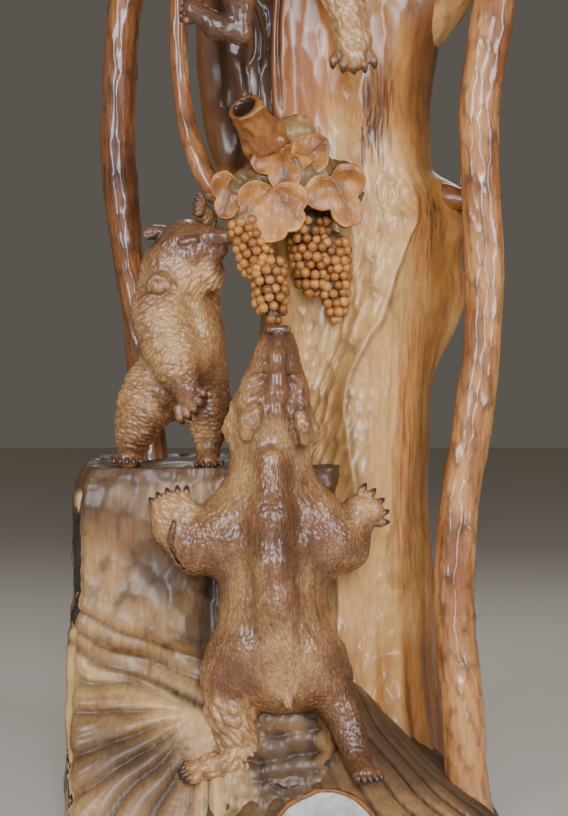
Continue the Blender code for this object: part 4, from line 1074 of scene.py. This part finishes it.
def make_grapes():
    """One ball per grape, of turn and rise, each a little off its place and size."""
    places = grape_places()
    turn = np.linspace(0, 2 * math.pi, BALL_SIDES, endpoint=False)
    rise = np.linspace(-1.25, 1.25, BALL_RINGS)
    turns, rises = np.meshgrid(turn, rise)
    ball = np.stack([np.cos(rises) * np.cos(turns), np.cos(rises) * np.sin(turns), np.sin(rises)], axis=-1)
    poles = np.array([(0, 0, -1.0), (0, 0, 1.0)])
    shape = np.concatenate([ball.reshape(-1, 3), poles])
    # Painted highlight and shade: each grape is paler on its front, upper side and darker toward its back.
    tip = np.array((0.0, -0.95, 0.31))
    lit_side = bell(np.linalg.norm(shape - tip, axis=1), 0, 0.22)
    points, faces, tone, cavity = [], [], [], []
    for k, place in enumerate(places):
        nudge = 0.0042 * (np.array([hashed(np.array([k * 1.0]), np.array([j * 1.0]))[0] for j in range(4)]) - 0.5)
        size = GRAPE * (1.0 + 55 * nudge[3])
        grown = shape * size * (1 - 0.05 * lit_side[:, None])
        points.append(grown + place[:3] + nudge[:3] * 1.1)
        faces += tube_faces(BALL_RINGS, BALL_SIDES, first=k * len(shape))
        tone.append(np.full(len(shape), 0.50 + 130 * nudge[0]) - 0.3 * lit_side)
        cavity.append(eased(-0.55, 0.35, shape[:, 1]))
    points = np.concatenate(points)
    new_piece("grapes", points, faces, LEAF_WOOD,
              {"lay": points, "tone": np.concatenate(tone), "cavity": np.concatenate(cavity)})


def make_blob(name, balls, step, rough, tone, shade):
    """A lumpy mass, as a figure of one chain, cut all over with small gouge marks."""
    mass = Figure(((0, 0, 0), 100.0), [(name, 0.02, 0, balls)])
    points, quads, normals = mass.skin(step)
    marks = gouge_marks(points[:, 2], points[:, 0] + points[:, 1], 0.026, 0.019, seed=331)
    points = points + normals * (rough * (marks - 0.4) + rough * noise(points, 0.02, 332))[:, None]
    new_piece(name, points, quads.tolist(), ROOT_WOOD,
              {"lay": points, "tone": tone + 0.2 * noise(points, 0.03, 333),
               "cavity": shade + 0.4 * np.clip(0.3 - marks, 0, 1), "char_and_shade": 0 * marks})


# The bears

# Limbs: name, blend, kind of fur (below 0 when it lies from the chain's end to its start), chain of ((x, y, z),
# radius). Hollows: blend, and a limb's two ends. All in hundredths of the figure's height from its foot.
LARGE_LIMBS = [
    ("hips", 4.0, 2, [((0.2, 9.5, 27.0), 10.4), ((0.2, 9.0, 22.0), 9.8)]),
    ("back", 5.0, -1, [((0.0, 10, 27.0), 11.2), ((-0.9, 12, 37), 10.9), ((-0.7, 13.0, 50), 11.8), ((-1, 14.0, 61), 9.8),
                       ((-1, 14.0, 71.5), 8.5)]),
    ("withers", 4.0, -1, [((-0.9, 8.6, 50.0), 6.6), ((-0.9, 8.6, 58.0), 5.6), ((-0.9, 10.0, 66.0), 4.4)]),
    ("spine", 4.0, -1, [((-0.8, 3.6, 70.0), 2.6), ((-0.8, 0.9, 58.0), 3.2), ((-0.6, -0.9, 48.0), 3.4),
                        ((0.4, -1.5, 39.0), 3.2), ((0.8, -0.6, 31.0), 2.6)]),
    ("rump", 4.0, -1, [((-4.0, 6.4, 27.0), 6.6), ((4.4, 6.6, 27.0), 6.6)]),
    ("neck", 3.0, -2, [((-1, 14.0, 71.5), 8.5), ((-1.0, 13.6, 77.5), 8.6)]),
    ("skull", 3.0, -1, [((-1.0, 13.6, 77.5), 8.6), ((-0.8, 13.2, 83.0), 7.4), ((-0.3, 13.6, 87.0), 5.2)]),
    ("muzzle", 2.4, -1, [((-0.3, 12.6, 87.0), 5.4), ((0.3, 13.2, 92.6), 3.9), ((0.6, 13.6, 96.8), 2.7)]),
    ("snout", 1.2, -5, [((0.2, 6.6, 84.6), 2.9), ((0.3, 7.0, 88.0), 1.9), ((0.5, 8.6, 92.6), 1.45),
                        ((0.7, 10.2, 97.0), 1.25)]),
    ("nose", 0.4, -5, [((-1.0, 10.6, 98.7), 1.25), ((2.4, 10.6, 98.7), 1.25)]),
    ("left_lip", 2.4, -1, [((-3.0, 13.6, 88.0), 3.2), ((-1.0, 14.6, 96.0), 2.1)]),
    ("right_lip", 2.4, -1, [((3.0, 13.6, 88.0), 3.0), ((2.2, 14.6, 96.0), 2.1)]),
    ("left_brow", 0.7, -5, [((-5.2, 8.0, 87.4), 1.0), ((-3.0, 7.0, 88.6), 0.85)]),
    ("right_brow", 0.7, -5, [((5.6, 8.4, 87.0), 1.0), ((3.9, 7.2, 88.2), 0.85)]),
    ("forehead", 1.4, -5, [((0.4, 5.6, 77.2), 1.5), ((0.3, 5.0, 80.4), 1.3), ((0.3, 6.2, 84.5), 1.0)]),
    ("left_temple", 2.0, -1, [((-5.0, 10.6, 86.2), 2.7), ((-5.4, 9.6, 82.6), 3.2)]),
    ("right_temple", 2.0, -1, [((4.4, 10.6, 86.0), 2.7), ((4.8, 9.6, 82.0), 3.2)]),
    ("left_cheek", 1.6, -3, [((-7.4, 13.2, 81.0), 2.9), ((-8.6, 13.2, 76.2), 3.0), ((-7.4, 12.0, 71.4), 2.3)]),
    ("right_cheek", 1.6, -3, [((5.8, 13.2, 80.0), 2.7), ((7.2, 13.2, 75.4), 2.8), ((6.0, 12.0, 70.6), 2.1)]),
    ("left_ear", 0.9, 1, [((-6.2, 5.6, 75.8), 2.0), ((-5.4, 4.6, 78.6), 2.2), ((-4.4, 4.8, 80.6), 1.8)]),
    ("right_ear", 0.9, 1, [((6.6, 5.9, 74.6), 1.7), ((6.2, 4.9, 77.4), 1.8), ((5.4, 5.0, 79.6), 1.5)]),
    ("left_arm", 4.0, 2, [((-8.0, 13.0, 55.6), 8.0), ((-13.0, 12.4, 51.6), 7.4), ((-18.2, 12.2, 49.6), 6.0)]),
    ("left_forearm", 2.0, 2, [((-18.2, 12.2, 49.6), 5.8), ((-22.6, 12.2, 53.6), 4.8), ((-24.2, 12.4, 57.0), 4.0)]),
    ("left_paw", 1.4, 3, [((-20.0, 11.6, 57.4), 3.4), ((-23.0, 11.2, 58.4), 3.8), ((-25.2, 11.8, 58.2), 3.2)]),
    ("right_arm", 4.0, 2, [((8.0, 13.0, 55.6), 7.8), ((12.6, 13.6, 50.4), 7.0), ((15.6, 14.6, 49.8), 5.8)]),
    ("right_forearm", 1.6, 2, [((15.2, 14.6, 50.4), 5.6), ((18.4, 15.6, 55.4), 4.0), ((19.4, 16.0, 57.4), 3.4)]),
    ("right_palm", 1.2, 5, [((19.0, 15.4, 57.6), 3.4), ((21.4, 15.6, 57.4), 3.2)]),
    ("left_thigh", 4.0, 2, [((-7.6, 9, 24.0), 8.6), ((-9.2, 8.5, 20.8), 7.9)]),
    ("left_leg", 1.0, 3, [((-9.2, 8.5, 19.0), 6.4), ((-9.6, 6.5, 13.6), 6.0), ((-8.8, 5.6, 8.0), 5.0),
                          ((-7.4, 5, 4.0), 4.4)]),
    ("left_foot", 1.2, 3, [((-8.0, 4, 3.4), 3.6), ((-14.0, 1.0, 2.4), 3.0), ((-18.0, -0.6, 1.8), 2.2)]),
    ("right_thigh", 4.0, 2, [((8.2, 10, 24.0), 8.2), ((9.6, 9.5, 20.6), 7.7)]),
    ("right_leg", 1.6, 2, [((11.0, 9.5, 19.4), 6.0), ((14.2, 8, 14.0), 4.3), ((16.8, 6, 8.0), 3.5),
                           ((18.0, 4, 4.4), 3.4)]),
    ("right_foot", 1.2, 2, [((18.2, 3, 3.2), 3.0), ((19.8, -3, 1.6), 2.5)]),
    ("tail", 1.0, 3, [((2.6, 1.4, 20.5), 2.2), ((3.0, -0.6, 16.2), 0.9)]),
]
LARGE_HOLLOWS = [
    (0.5, ((-4.2, 2.4, 81.4), 0.55), ((-5.2, 2.0, 79.8), 0.5)),
    (0.4, ((6.0, 2.9, 78.8), 0.4), ((6.3, 3.0, 76.6), 0.4)),
    (0.3, ((-5.6, 6.9, 88.9), 0.35), ((-2.9, 6.2, 89.8), 0.3)),
    (0.3, ((6.0, 7.2, 88.4), 0.35), ((3.8, 6.4, 89.4), 0.3)),
    (0.3, ((-1.2, 9.4, 99.4), 0.4), ((-0.8, 10.4, 100.2), 0.35)),
    (0.3, ((2.6, 9.4, 99.4), 0.4), ((2.2, 10.4, 100.2), 0.35)),
    (0.2, ((-22.4, 7.5, 55.6), 0.5), ((-23.0, 7.0, 53.8), 0.6)),
    (0.2, ((-23.0, 7.0, 53.8), 0.6), ((-23.4, 7.2, 52.0), 0.6)),
    (0.2, ((-23.4, 7.2, 52.0), 0.6), ((-23.0, 7.7, 50.2), 0.6)),
    (0.2, ((-23.0, 7.7, 50.2), 0.6), ((-22.4, 8.1, 48.6), 0.6)),
    (0.2, ((-22.4, 8.1, 48.6), 0.6), ((-21.4, 8.2, 47.0), 0.6)),
    (0.2, ((-21.4, 8.2, 47.0), 0.6), ((-20.2, 8.7, 45.4), 0.5)),
]
SMALL_LIMBS = [
    ("body", 5.0, -1, [((1.5, 7, 31), 15.0), ((5.0, 6.5, 40.5), 16.6), ((4.6, 6.5, 52), 16.8), ((3.0, 5, 64), 14.4)]),
    ("neck", 4.0, -4, [((-0.4, 4, 66), 12.6), ((0.6, 1, 76), 12.4)]),
    ("skull", 4.0, -1, [((3.0, 0, 81.0), 12.6), ((7.4, -1, 88.0), 11.2)]),
    ("jaw", 2.0, -3, [((8.0, -1, 76.0), 12.0), ((14.8, -1.0, 77.4), 8.6)]),
    ("chin", 2.0, -1, [((12.6, -3, 82.0), 7.6), ((18.6, -4, 85.4), 4.4), ((21.8, -4.4, 86.4), 2.6)]),
    ("muzzle", 1.4, -5, [((12.0, -4, 91.0), 6.6), ((17.6, -5.0, 91.6), 4.6), ((24.0, -5.6, 92.0), 3.4)]),
    ("nose", 0.6, -5, [((25.0, -6.4, 93.6), 2.1), ((26.0, -5.2, 92.6), 1.9)]),
    ("brow", 1.0, -5, [((6.4, -11.2, 89.4), 1.7), ((11.6, -10.6, 90.6), 1.5)]),
    ("cheek_bone", 2.0, -1, [((10.6, -9.4, 84.0), 3.4), ((14.0, -7.4, 86.6), 2.6)]),
    ("far_ear", 1.0, -5, [((-2.6, -1, 94.4), 2.5), ((-6.0, -2, 93.8), 2.9), ((-8.0, -3, 92.8), 2.4)]),
    ("near_ear_root", 1.4, -5, [((-1.0, -12.4, 74.6), 3.2), ((-3.0, -14.4, 72.8), 2.8)]),
    ("near_ear", 0.7, -5, [((-6.6, -14.6, 70.6), 1.1), ((-6.2, -15.6, 73.4), 1.2), ((-3.8, -16.2, 75.2), 1.2),
                           ((-0.8, -16.4, 74.6), 1.2), ((0.8, -16.0, 72.0), 1.1)]),
    ("ear_middle", 1.4, -5, [((-3.4, -15.6, 71.0), 1.9), ((-2.0, -15.8, 71.4), 1.9)]),
    ("near_arm", 3.6, 4, [((-3.6, -3, 62), 12.2), ((-2.0, -6, 56.5), 11.6), ((1.0, -9, 48), 10.4),
                          ((4.0, -11.5, 39), 8.3), ((8.0, -13.5, 30.5), 5.6)]),
    ("near_wrist", 1.6, 1, [((8.0, -13.5, 30.5), 5.4), ((8.6, -14, 26.6), 4.4)]),
    ("far_arm", 3.0, 4, [((12.5, 10, 64), 9.0), ((15.0, 15, 80), 5.8), ((15.2, 9, 99.5), 3.8),
                         ((13.4, 6, 104.5), 3.2)]),
    ("left_leg", 3.0, 4, [((-6.4, 3, 31), 12.0), ((-9.6, 0, 23.0), 11.4), ((-13.4, 0, 14.5), 8.6),
                          ((-15.2, 2, 8.0), 6.2), ((-15.7, 2, 4.0), 5.4)]),
    ("left_foot", 2.0, 1, [((-16.0, 1, 3.0), 5.0), ((-16.2, -8, 1.8), 4.2)]),
    ("right_leg", 3.0, 4, [((12.6, 5, 33), 12.0), ((15.6, 3, 22.5), 10.0), ((16.2, 3, 12.6), 6.6),
                           ((15.9, 2, 5.0), 5.0)]),
    ("right_foot", 2.0, 1, [((16.0, 1, 2.0), 4.7), ((16.8, -9, 0.8), 4.0)]),
]
SMALL_HOLLOWS = [
    (0.8, ((-6.0, -5.6, 94.2), 1.2), ((-8.6, -5.8, 93.4), 1.1)),
    (0.5, ((9.6, -11.6, 95.4), 0.6), ((12.4, -9.6, 96.2), 0.5)),
    (0.4, ((11.6, -13.0, 84.6), 0.5), ((12.2, -12.6, 81.4), 0.45)),
    (0.4, ((15.0, -10.6, 88.0), 0.5), ((25.4, -8.4, 88.8), 0.5)),
    (0.4, ((26.4, -8.4, 93.4), 0.6), ((27.6, -7.4, 93.2), 0.5)),
]
UPPER_LIMBS = [
    ("seat", 3.0, 2, [((-18, 14, 1), 16), ((16, 14, 1), 16)]),
    ("body", 6.0, -1, [((0, 6, 14), 17), ((0, 3, 30), 18), ((0, 4, 48), 16), ((-1, 0, 62), 12)]),
    ("head", 4.0, -1, [((-2, -4, 74), 12), ((-3, -12, 71), 8.3), ((-3.4, -19, 67), 5.0), ((-3.6, -22.5, 65.5), 3.9)]),
    ("left_cheek", 3.0, -3, [((-8, -6, 72), 5.5), ((-9.5, -4, 67), 4.6)]),
    ("right_cheek", 3.0, -3, [((4.6, -6, 72), 5.5), ((6, -4, 67), 4.6)]),
    ("left_ear", 1.2, -5, [((-11, -1, 82), 3.3), ((-12.6, -2, 84.6), 3.1)]),
    ("right_ear", 1.2, -5, [((7, -1, 82), 3.3), ((8.6, -2, 84.6), 3.1)]),
    ("left_arm", 4.0, 4, [((-12, 1, 54), 9.4), ((-22, -12, 36), 7.0), ((-26, -24, 21), 5.2)]),
    ("right_arm", 4.0, 4, [((12, 1, 54), 9.4), ((21, -12, 36), 7.0), ((15, -25, 24), 5.4)]),
    ("left_leg", 5.0, 2, [((-12, -6, 10), 12.5), ((-27, -30, 8), 9.4), ((-33, -28, -12), 6.9), ((-33, -27, -30), 4.9)]),
    ("left_foot", 2.0, 1, [((-32.6, -28, -31), 4.5), ((-42, -28, -28), 5.3), ((-51, -27, -21.5), 4.3)]),
    ("right_leg", 5.0, 3, [((13, -8, 10), 12.5), ((6, -28, -8), 10.0), ((12, -31, -34), 6.5), ((12, -32, -41), 5.9)]),
]
UPPER_HOLLOWS = [
    (0.7, ((-11.6, -5.0, 83.6), 1.5), ((-12.8, -5.4, 85.0), 1.3)),
    (0.7, ((7.6, -5.0, 83.6), 1.5), ((8.8, -5.4, 85.0), 1.3)),
    (0.6, ((-8.4, -14.6, 74.4), 1.0), ((-7.4, -15.6, 74.8), 0.8)),
    (0.6, ((2.0, -14.6, 74.4), 1.0), ((1.0, -15.6, 74.8), 0.8)),
    (0.4, ((-5.6, -26.4, 66.4), 0.7), ((-4.9, -26.8, 66.2), 0.6)),
    (0.4, ((-2.4, -26.4, 66.4), 0.7), ((-3.1, -26.8, 66.2), 0.6)),
    (0.4, ((-8.0, -22.0, 63.2), 0.5), ((0.8, -22.0, 63.2), 0.5)),
]
# Paws: (place, middle of the knuckles, way of the toes, way across, half spread, length, radius of a toe, fan).
PAWS = [
    (LARGE_BEAR, (-23.4, 10.4, 60.6), (-0.35, -0.20, 0.92), (0.95, 0.0, 0.3), 3.6, 2.6, 1.05, 0.5),
    (LARGE_BEAR, (21.6, 15.4, 58.2), (0.80, -0.10, 0.50), (0.50, 0.0, -0.82), 4.0, 4.8, 1.15, 0.60),
    (LARGE_BEAR, (-18.4, -1.2, 1.7), (-0.95, -0.3, -0.1), (0.15, -0.95, -0.3), 2.6, 2.6, 1.15, 0.2),
    (LARGE_BEAR, (20.2, -3.2, 1.4), (0.3, -0.95, -0.2), (0.95, 0.3, 0.0), 2.4, 2.4, 1.15, 0.2),
    (SMALL_BEAR, (9.8, -15.6, 24.8), (0.50, -0.25, -0.80), (0.66, 0.0, 0.72), 6.8, 5.4, 1.9, 0.0),
    (SMALL_BEAR, (12.8, 3.0, 105.0), (-0.85, -0.45, 0.2), (0.2, 0.1, 0.97), 3.6, 2.2, 1.25, 0.2),
    (SMALL_BEAR, (-16.2, -9.6, 1.8), (0.0, -1.0, -0.2), (1.0, 0.0, 0.0), 5.2, 3.0, 1.6, 0.1),
    (SMALL_BEAR, (16.8, -10.4, 0.6), (0.1, -1.0, -0.2), (1.0, 0.1, 0.0), 4.8, 3.0, 1.5, 0.1),
    (UPPER_BEAR, (-51.5, -27.0, -21.0), (-0.9, -0.1, 0.3), (0.3, 0.1, 0.9), 5.0, 3.4, 1.8, 0.2),
    (UPPER_BEAR, (12.0, -33.0, -41.5), (0.05, -0.30, -0.95), (1.0, 0.0, 0.0), 7.6, 8.0, 2.0, 0.20),
    (UPPER_BEAR, (-26.6, -26.0, 18.6), (-0.2, -0.85, -0.5), (0.95, -0.2, 0.1), 4.6, 3.2, 1.8, 0.2),
    (UPPER_BEAR, (14.6, -27.0, 22.0), (-0.1, -0.85, -0.5), (0.95, 0.1, 0.0), 4.6, 3.2, 1.8, 0.2),
]


def toes(place):
    """Each toe of a figure's paws: its root, its knuckle, the way its claw runs, the way out, and its radius."""
    for owner, middle, ahead, across, half, length, radius, fan in PAWS:
        if owner is not place:
            continue
        middle, ahead, across = (Vector(part) for part in (middle, ahead, across))
        ahead.normalize()
        across.normalize()
        out = ahead.cross(across).normalized()
        out = out if out.y < 0 else -out
        for side in (-1.0, -0.5, 0.0, 0.5, 1.0):
            way = (ahead + across * side * fan).normalized()
            root = middle + across * side * half * 0.8 - way * length * 0.5
            knuckle = middle + across * side * half + way * length * (0.35 - 0.3 * side * side)
            yield root, knuckle, way, out, radius


def toe_limbs(place):
    """Five short chains side by side for each of a figure's paws."""
    return [("toe", 0.4, 5, [(tuple(root), radius * 1.1), (tuple(knuckle), radius)])
            for root, knuckle, _, _, radius in toes(place)]


def make_claws(name, place):
    """Each claw is a curved cone: a ring that shrinks along an arc from the knuckle."""
    origin, height = place
    unit = height / 100
    rows, columns = 7, 8
    turn = np.linspace(0, 2 * math.pi, columns, endpoint=False)
    share = np.linspace(0, 1, rows)[:, None]
    darkening = np.linspace(0.3, 1.3, rows)
    points, faces, tone = [], [], []
    for number, (_, knuckle, way, out, radius) in enumerate(toes(place)):
        aside = way.cross(out).normalized()
        arc = share * radius * 1.9 * np.array(way) + radius * (0.10 + 0.8 * share - 1.2 * share * share) * np.array(out)
        far = radius * (0.86 * (1 - share) ** 0.5 + 0.08)
        ring = np.cos(turn)[:, None] * np.array(aside) - np.sin(turn)[:, None] * np.array(out) * 1.15
        rings = (np.array(knuckle) + arc)[:, None] + far[..., None] * ring
        rings = rings * unit + np.array(origin)
        points.append(np.concatenate([rings.reshape(-1, 3), rings[0].mean(axis=0)[None], rings[-1].mean(axis=0)[None]]))
        faces += tube_faces(rows, columns, first=number * (rows * columns + 2))
        tone.append(np.r_[np.repeat(darkening, columns), darkening[0], darkening[-1]])
    points, tone = np.concatenate(points), np.concatenate(tone)
    new_piece(name, points, faces, FIGURE_WOOD, {"lay": points, "tone": tone, "cavity": 0.75 * eased(0.75, 1.2, tone)})


# Patches of tone on the figures: (middle, reach, change), in hundredths of the figure's height.
# On the large bear, the darker patches on the flanks, hips and shoulders are painted shade, and the paler one down the
# middle of the back is a painted highlight.
LARGE_TONES = [
    ((18, 0, 6), 9, 0.40), ((0, 8, 98), 3, 0.35), ((-9, -2, 10), 9, -0.20), ((22, 12, 60), 5, -0.4),
    ((0, 0, 40), 14, -0.15), ((0, 4, 88), 6, -0.10), ((-14, 6, 52), 9, 0.16), ((12, 6, 52), 8, 0.16),
    ((-10, 8, 42), 7, 0.2), ((9, 8, 42), 7, 0.2), ((-8, 4, 26), 7, 0.12), ((8, 4, 26), 7, 0.12),
]
SMALL_TONES = [
    ((24, -5, 92), 7, 0.10), ((8, -12, 88), 12, 0.36), ((16, -6, 20), 16, 0.25), ((-14, -8, 24), 14, 0.22),
    ((0, -12, 50), 16, -0.10), ((16, -8, 52), 14, -0.20), ((12, 0, 36), 16, -0.25), ((14, 0, 66), 14, -0.36),
    ((-4, -10, 10), 12, 0.18),
]
UPPER_TONES = [((-42, -30, -26), 14, 0.4)]
# Each with the step of its skin and a coarser step, its tones, and how far its fur parts.
BEARS = [
    ("large_bear", LARGE_BEAR, LARGE_LIMBS, LARGE_HOLLOWS, (0.0031, 0.0045), LARGE_TONES, 0.5),
    ("small_bear", SMALL_BEAR, SMALL_LIMBS, SMALL_HOLLOWS, (0.0024, 0.0034), SMALL_TONES, 0.0),
    ("upper_bear", UPPER_BEAR, UPPER_LIMBS, UPPER_HOLLOWS, (0.0041, 0.0050), UPPER_TONES, 0.0),
]
# Vines and branches: route, radius, wood, columns round, depth of a facet, seed, tone.
VINES = [
    ("left_vine", LEFT_VINE, 0.034, VINE_WOOD, 44, 0.0019, 401, 0.62),
    ("thin_vine", THIN_VINE, 0.0175, VINE_WOOD, 30, 0.0011, 411, 0.45),
    ("right_vine", RIGHT_VINE, 0.039, VINE_WOOD, 48, 0.0019, 421, 0.30),
    ("right_fork", RIGHT_FORK, 0.039, HONEY_WOOD, 56, 0.0015, 431, 0.30),
    ("top_snag", TOP_SNAG, 0.034, HONEY_WOOD, 56, 0.002, 441, 0.35),
    ("twig", TWIG, 0.016, HONEY_WOOD, 32, 0.0015, 451, 0.85),
]
# Rough masses that the leaves and grapes grow out of: balls, step of the skin, depth of the cuts, tone, shade.
MASSES = [
    ("branch_root", [((0.000, -0.030, 1.352), 0.034), ((0.020, -0.026, 1.346), 0.028), ((0.030, -0.012, 1.368), 0.024)],
     0.0035, 0.009, 0.35, 0.25),
    ("leaf_backing", [((-0.130, -0.020, 1.240), 0.021), ((-0.060, -0.045, 1.245), 0.040),
                      ((0.030, -0.030, 1.265), 0.058), ((0.100, -0.020, 1.255), 0.052)], 0.0045, 0.008, 0.60, 0.4),
    ("bunch_stalk", [((-0.030, -0.060, 1.230), 0.042), ((-0.070, -0.070, 1.175), 0.032),
                     ((-0.046, -0.088, 1.100), 0.020), ((-0.018, -0.110, 1.025), 0.014)], 0.0038, 0.006, 0.50, 0.3),
]
# Leaves: middle, way to the tip, way that the face looks, length, width by length, lobes, roundness of a lobe.
LEAVES = [
    ("leaf_upper", (-0.002, -0.084, 1.292), (0.15, -0.30, -1.0), (0.0, -1.0, 0.30), 0.108, 1.14, 3, 1.35),
    ("leaf_top", (0.052, -0.080, 1.316), (0.70, 0.0, 0.72), (0.1, -1.0, 0.1), 0.078, 1.0, 3, 2.3),
    ("leaf_hanging", (-0.022, -0.102, 1.214), (-0.05, -0.15, -1.0), (-0.05, -1.0, 0.15), 0.132, 1.08, 5, 2.4),
    ("leaf_left", (-0.098, -0.068, 1.240), (-0.30, -0.05, -0.95), (-0.35, -1.0, 0.1), 0.104, 1.0, 3, 1.25),
    ("leaf_right", (0.102, -0.082, 1.238), (0.45, -0.05, -0.90), (0.25, -1.0, 0.12), 0.136, 1.0, 3, 1.2),
]

for name, place, limbs, hollows, (fine, coarse), tones, parting in BEARS:
    carve_figure(name, Figure(place, limbs + toe_limbs(place), hollows), fine, tones, parting)
    make_claws(name + "_claws", place)
make_trunk()
make_block()
make_base()
make_root_stub()
make_cut_branch()
for vine in VINES:
    make_vine(*vine)
for mass in MASSES:
    make_blob(*mass)
for seed, leaf in enumerate(LEAVES, start=1):
    make_leaf(*leaf, seed)
for number, (top, foot, top_width, foot_width) in enumerate(BUNCHES, start=1):
    end = np.array(top) * 0.12 + np.array(foot) * 0.88
    make_blob(f"bunch_core_{number}", [(top, 0.90 * top_width), (end, 0.66 * foot_width)], 0.0042, 0.005, 0.75, 0.45)
make_grapes()


# Floor and studio lights

def make_floor():
    mesh = bpy.data.meshes.new("floor")
    mesh.from_pydata([(-9, -7, 0), (9, -7, 0), (9, 9, 0), (-9, 9, 0)], [], [(0, 1, 2, 3)])
    material = bpy.data.materials.new("plain_floor")
    material.use_nodes = True
    shader = material.node_tree.nodes["Principled BSDF"]
    shader.inputs["Base Color"].default_value = linear("cbc3b6")
    shader.inputs["Roughness"].default_value = 0.8
    mesh.materials.append(material)
    floor = bpy.data.objects.new("floor", mesh)
    bpy.context.scene.collection.objects.link(floor)


def add_light(name, place, target, size, power, colour):
    data = bpy.data.lights.new(name, "AREA")
    data.shape = "RECTANGLE"
    data.size, data.size_y = size
    data.energy = power
    data.color = linear(colour)[:3]
    light = bpy.data.objects.new(name, data)
    bpy.context.scene.collection.objects.link(light)
    light.location = place
    light.rotation_euler = (Vector(target) - Vector(place)).to_track_quat("-Z", "Y").to_euler()


# Lights: place, aim, size, power in watts, colour.
LIGHTS = [
    ("window_left", (-2.2, -2.5, 2.1), (0, 0, 0.9), (0.8, 1.8), 80, "eaf2ff"),
    ("window_right", (2.5, -2.1, 1.9), (0.1, 0, 0.9), (0.6, 1.8), 62, "eef3ff"),
    ("front_key", (0.25, -4.0, 2.6), (0, 0, 1.0), (1.6, 1.3), 84, "f6f8ff"),
    ("front_strip", (0.30, -4.3, 1.35), (0, 0, 1.0), (0.22, 2.3), 62, "f2f6ff"),
    ("back_rim", (0.4, 2.4, 2.6), (0, 0, 1.0), (1.6, 1.0), 25, "ffffff"),
]

make_floor()
for light in LIGHTS:
    add_light(*light)
world = bpy.data.worlds.new("studio")
bpy.context.scene.world = world
world.use_nodes = True
world.node_tree.nodes["Background"].inputs["Color"].default_value = linear("d6cdbf")
world.node_tree.nodes["Background"].inputs["Strength"].default_value = 0.16
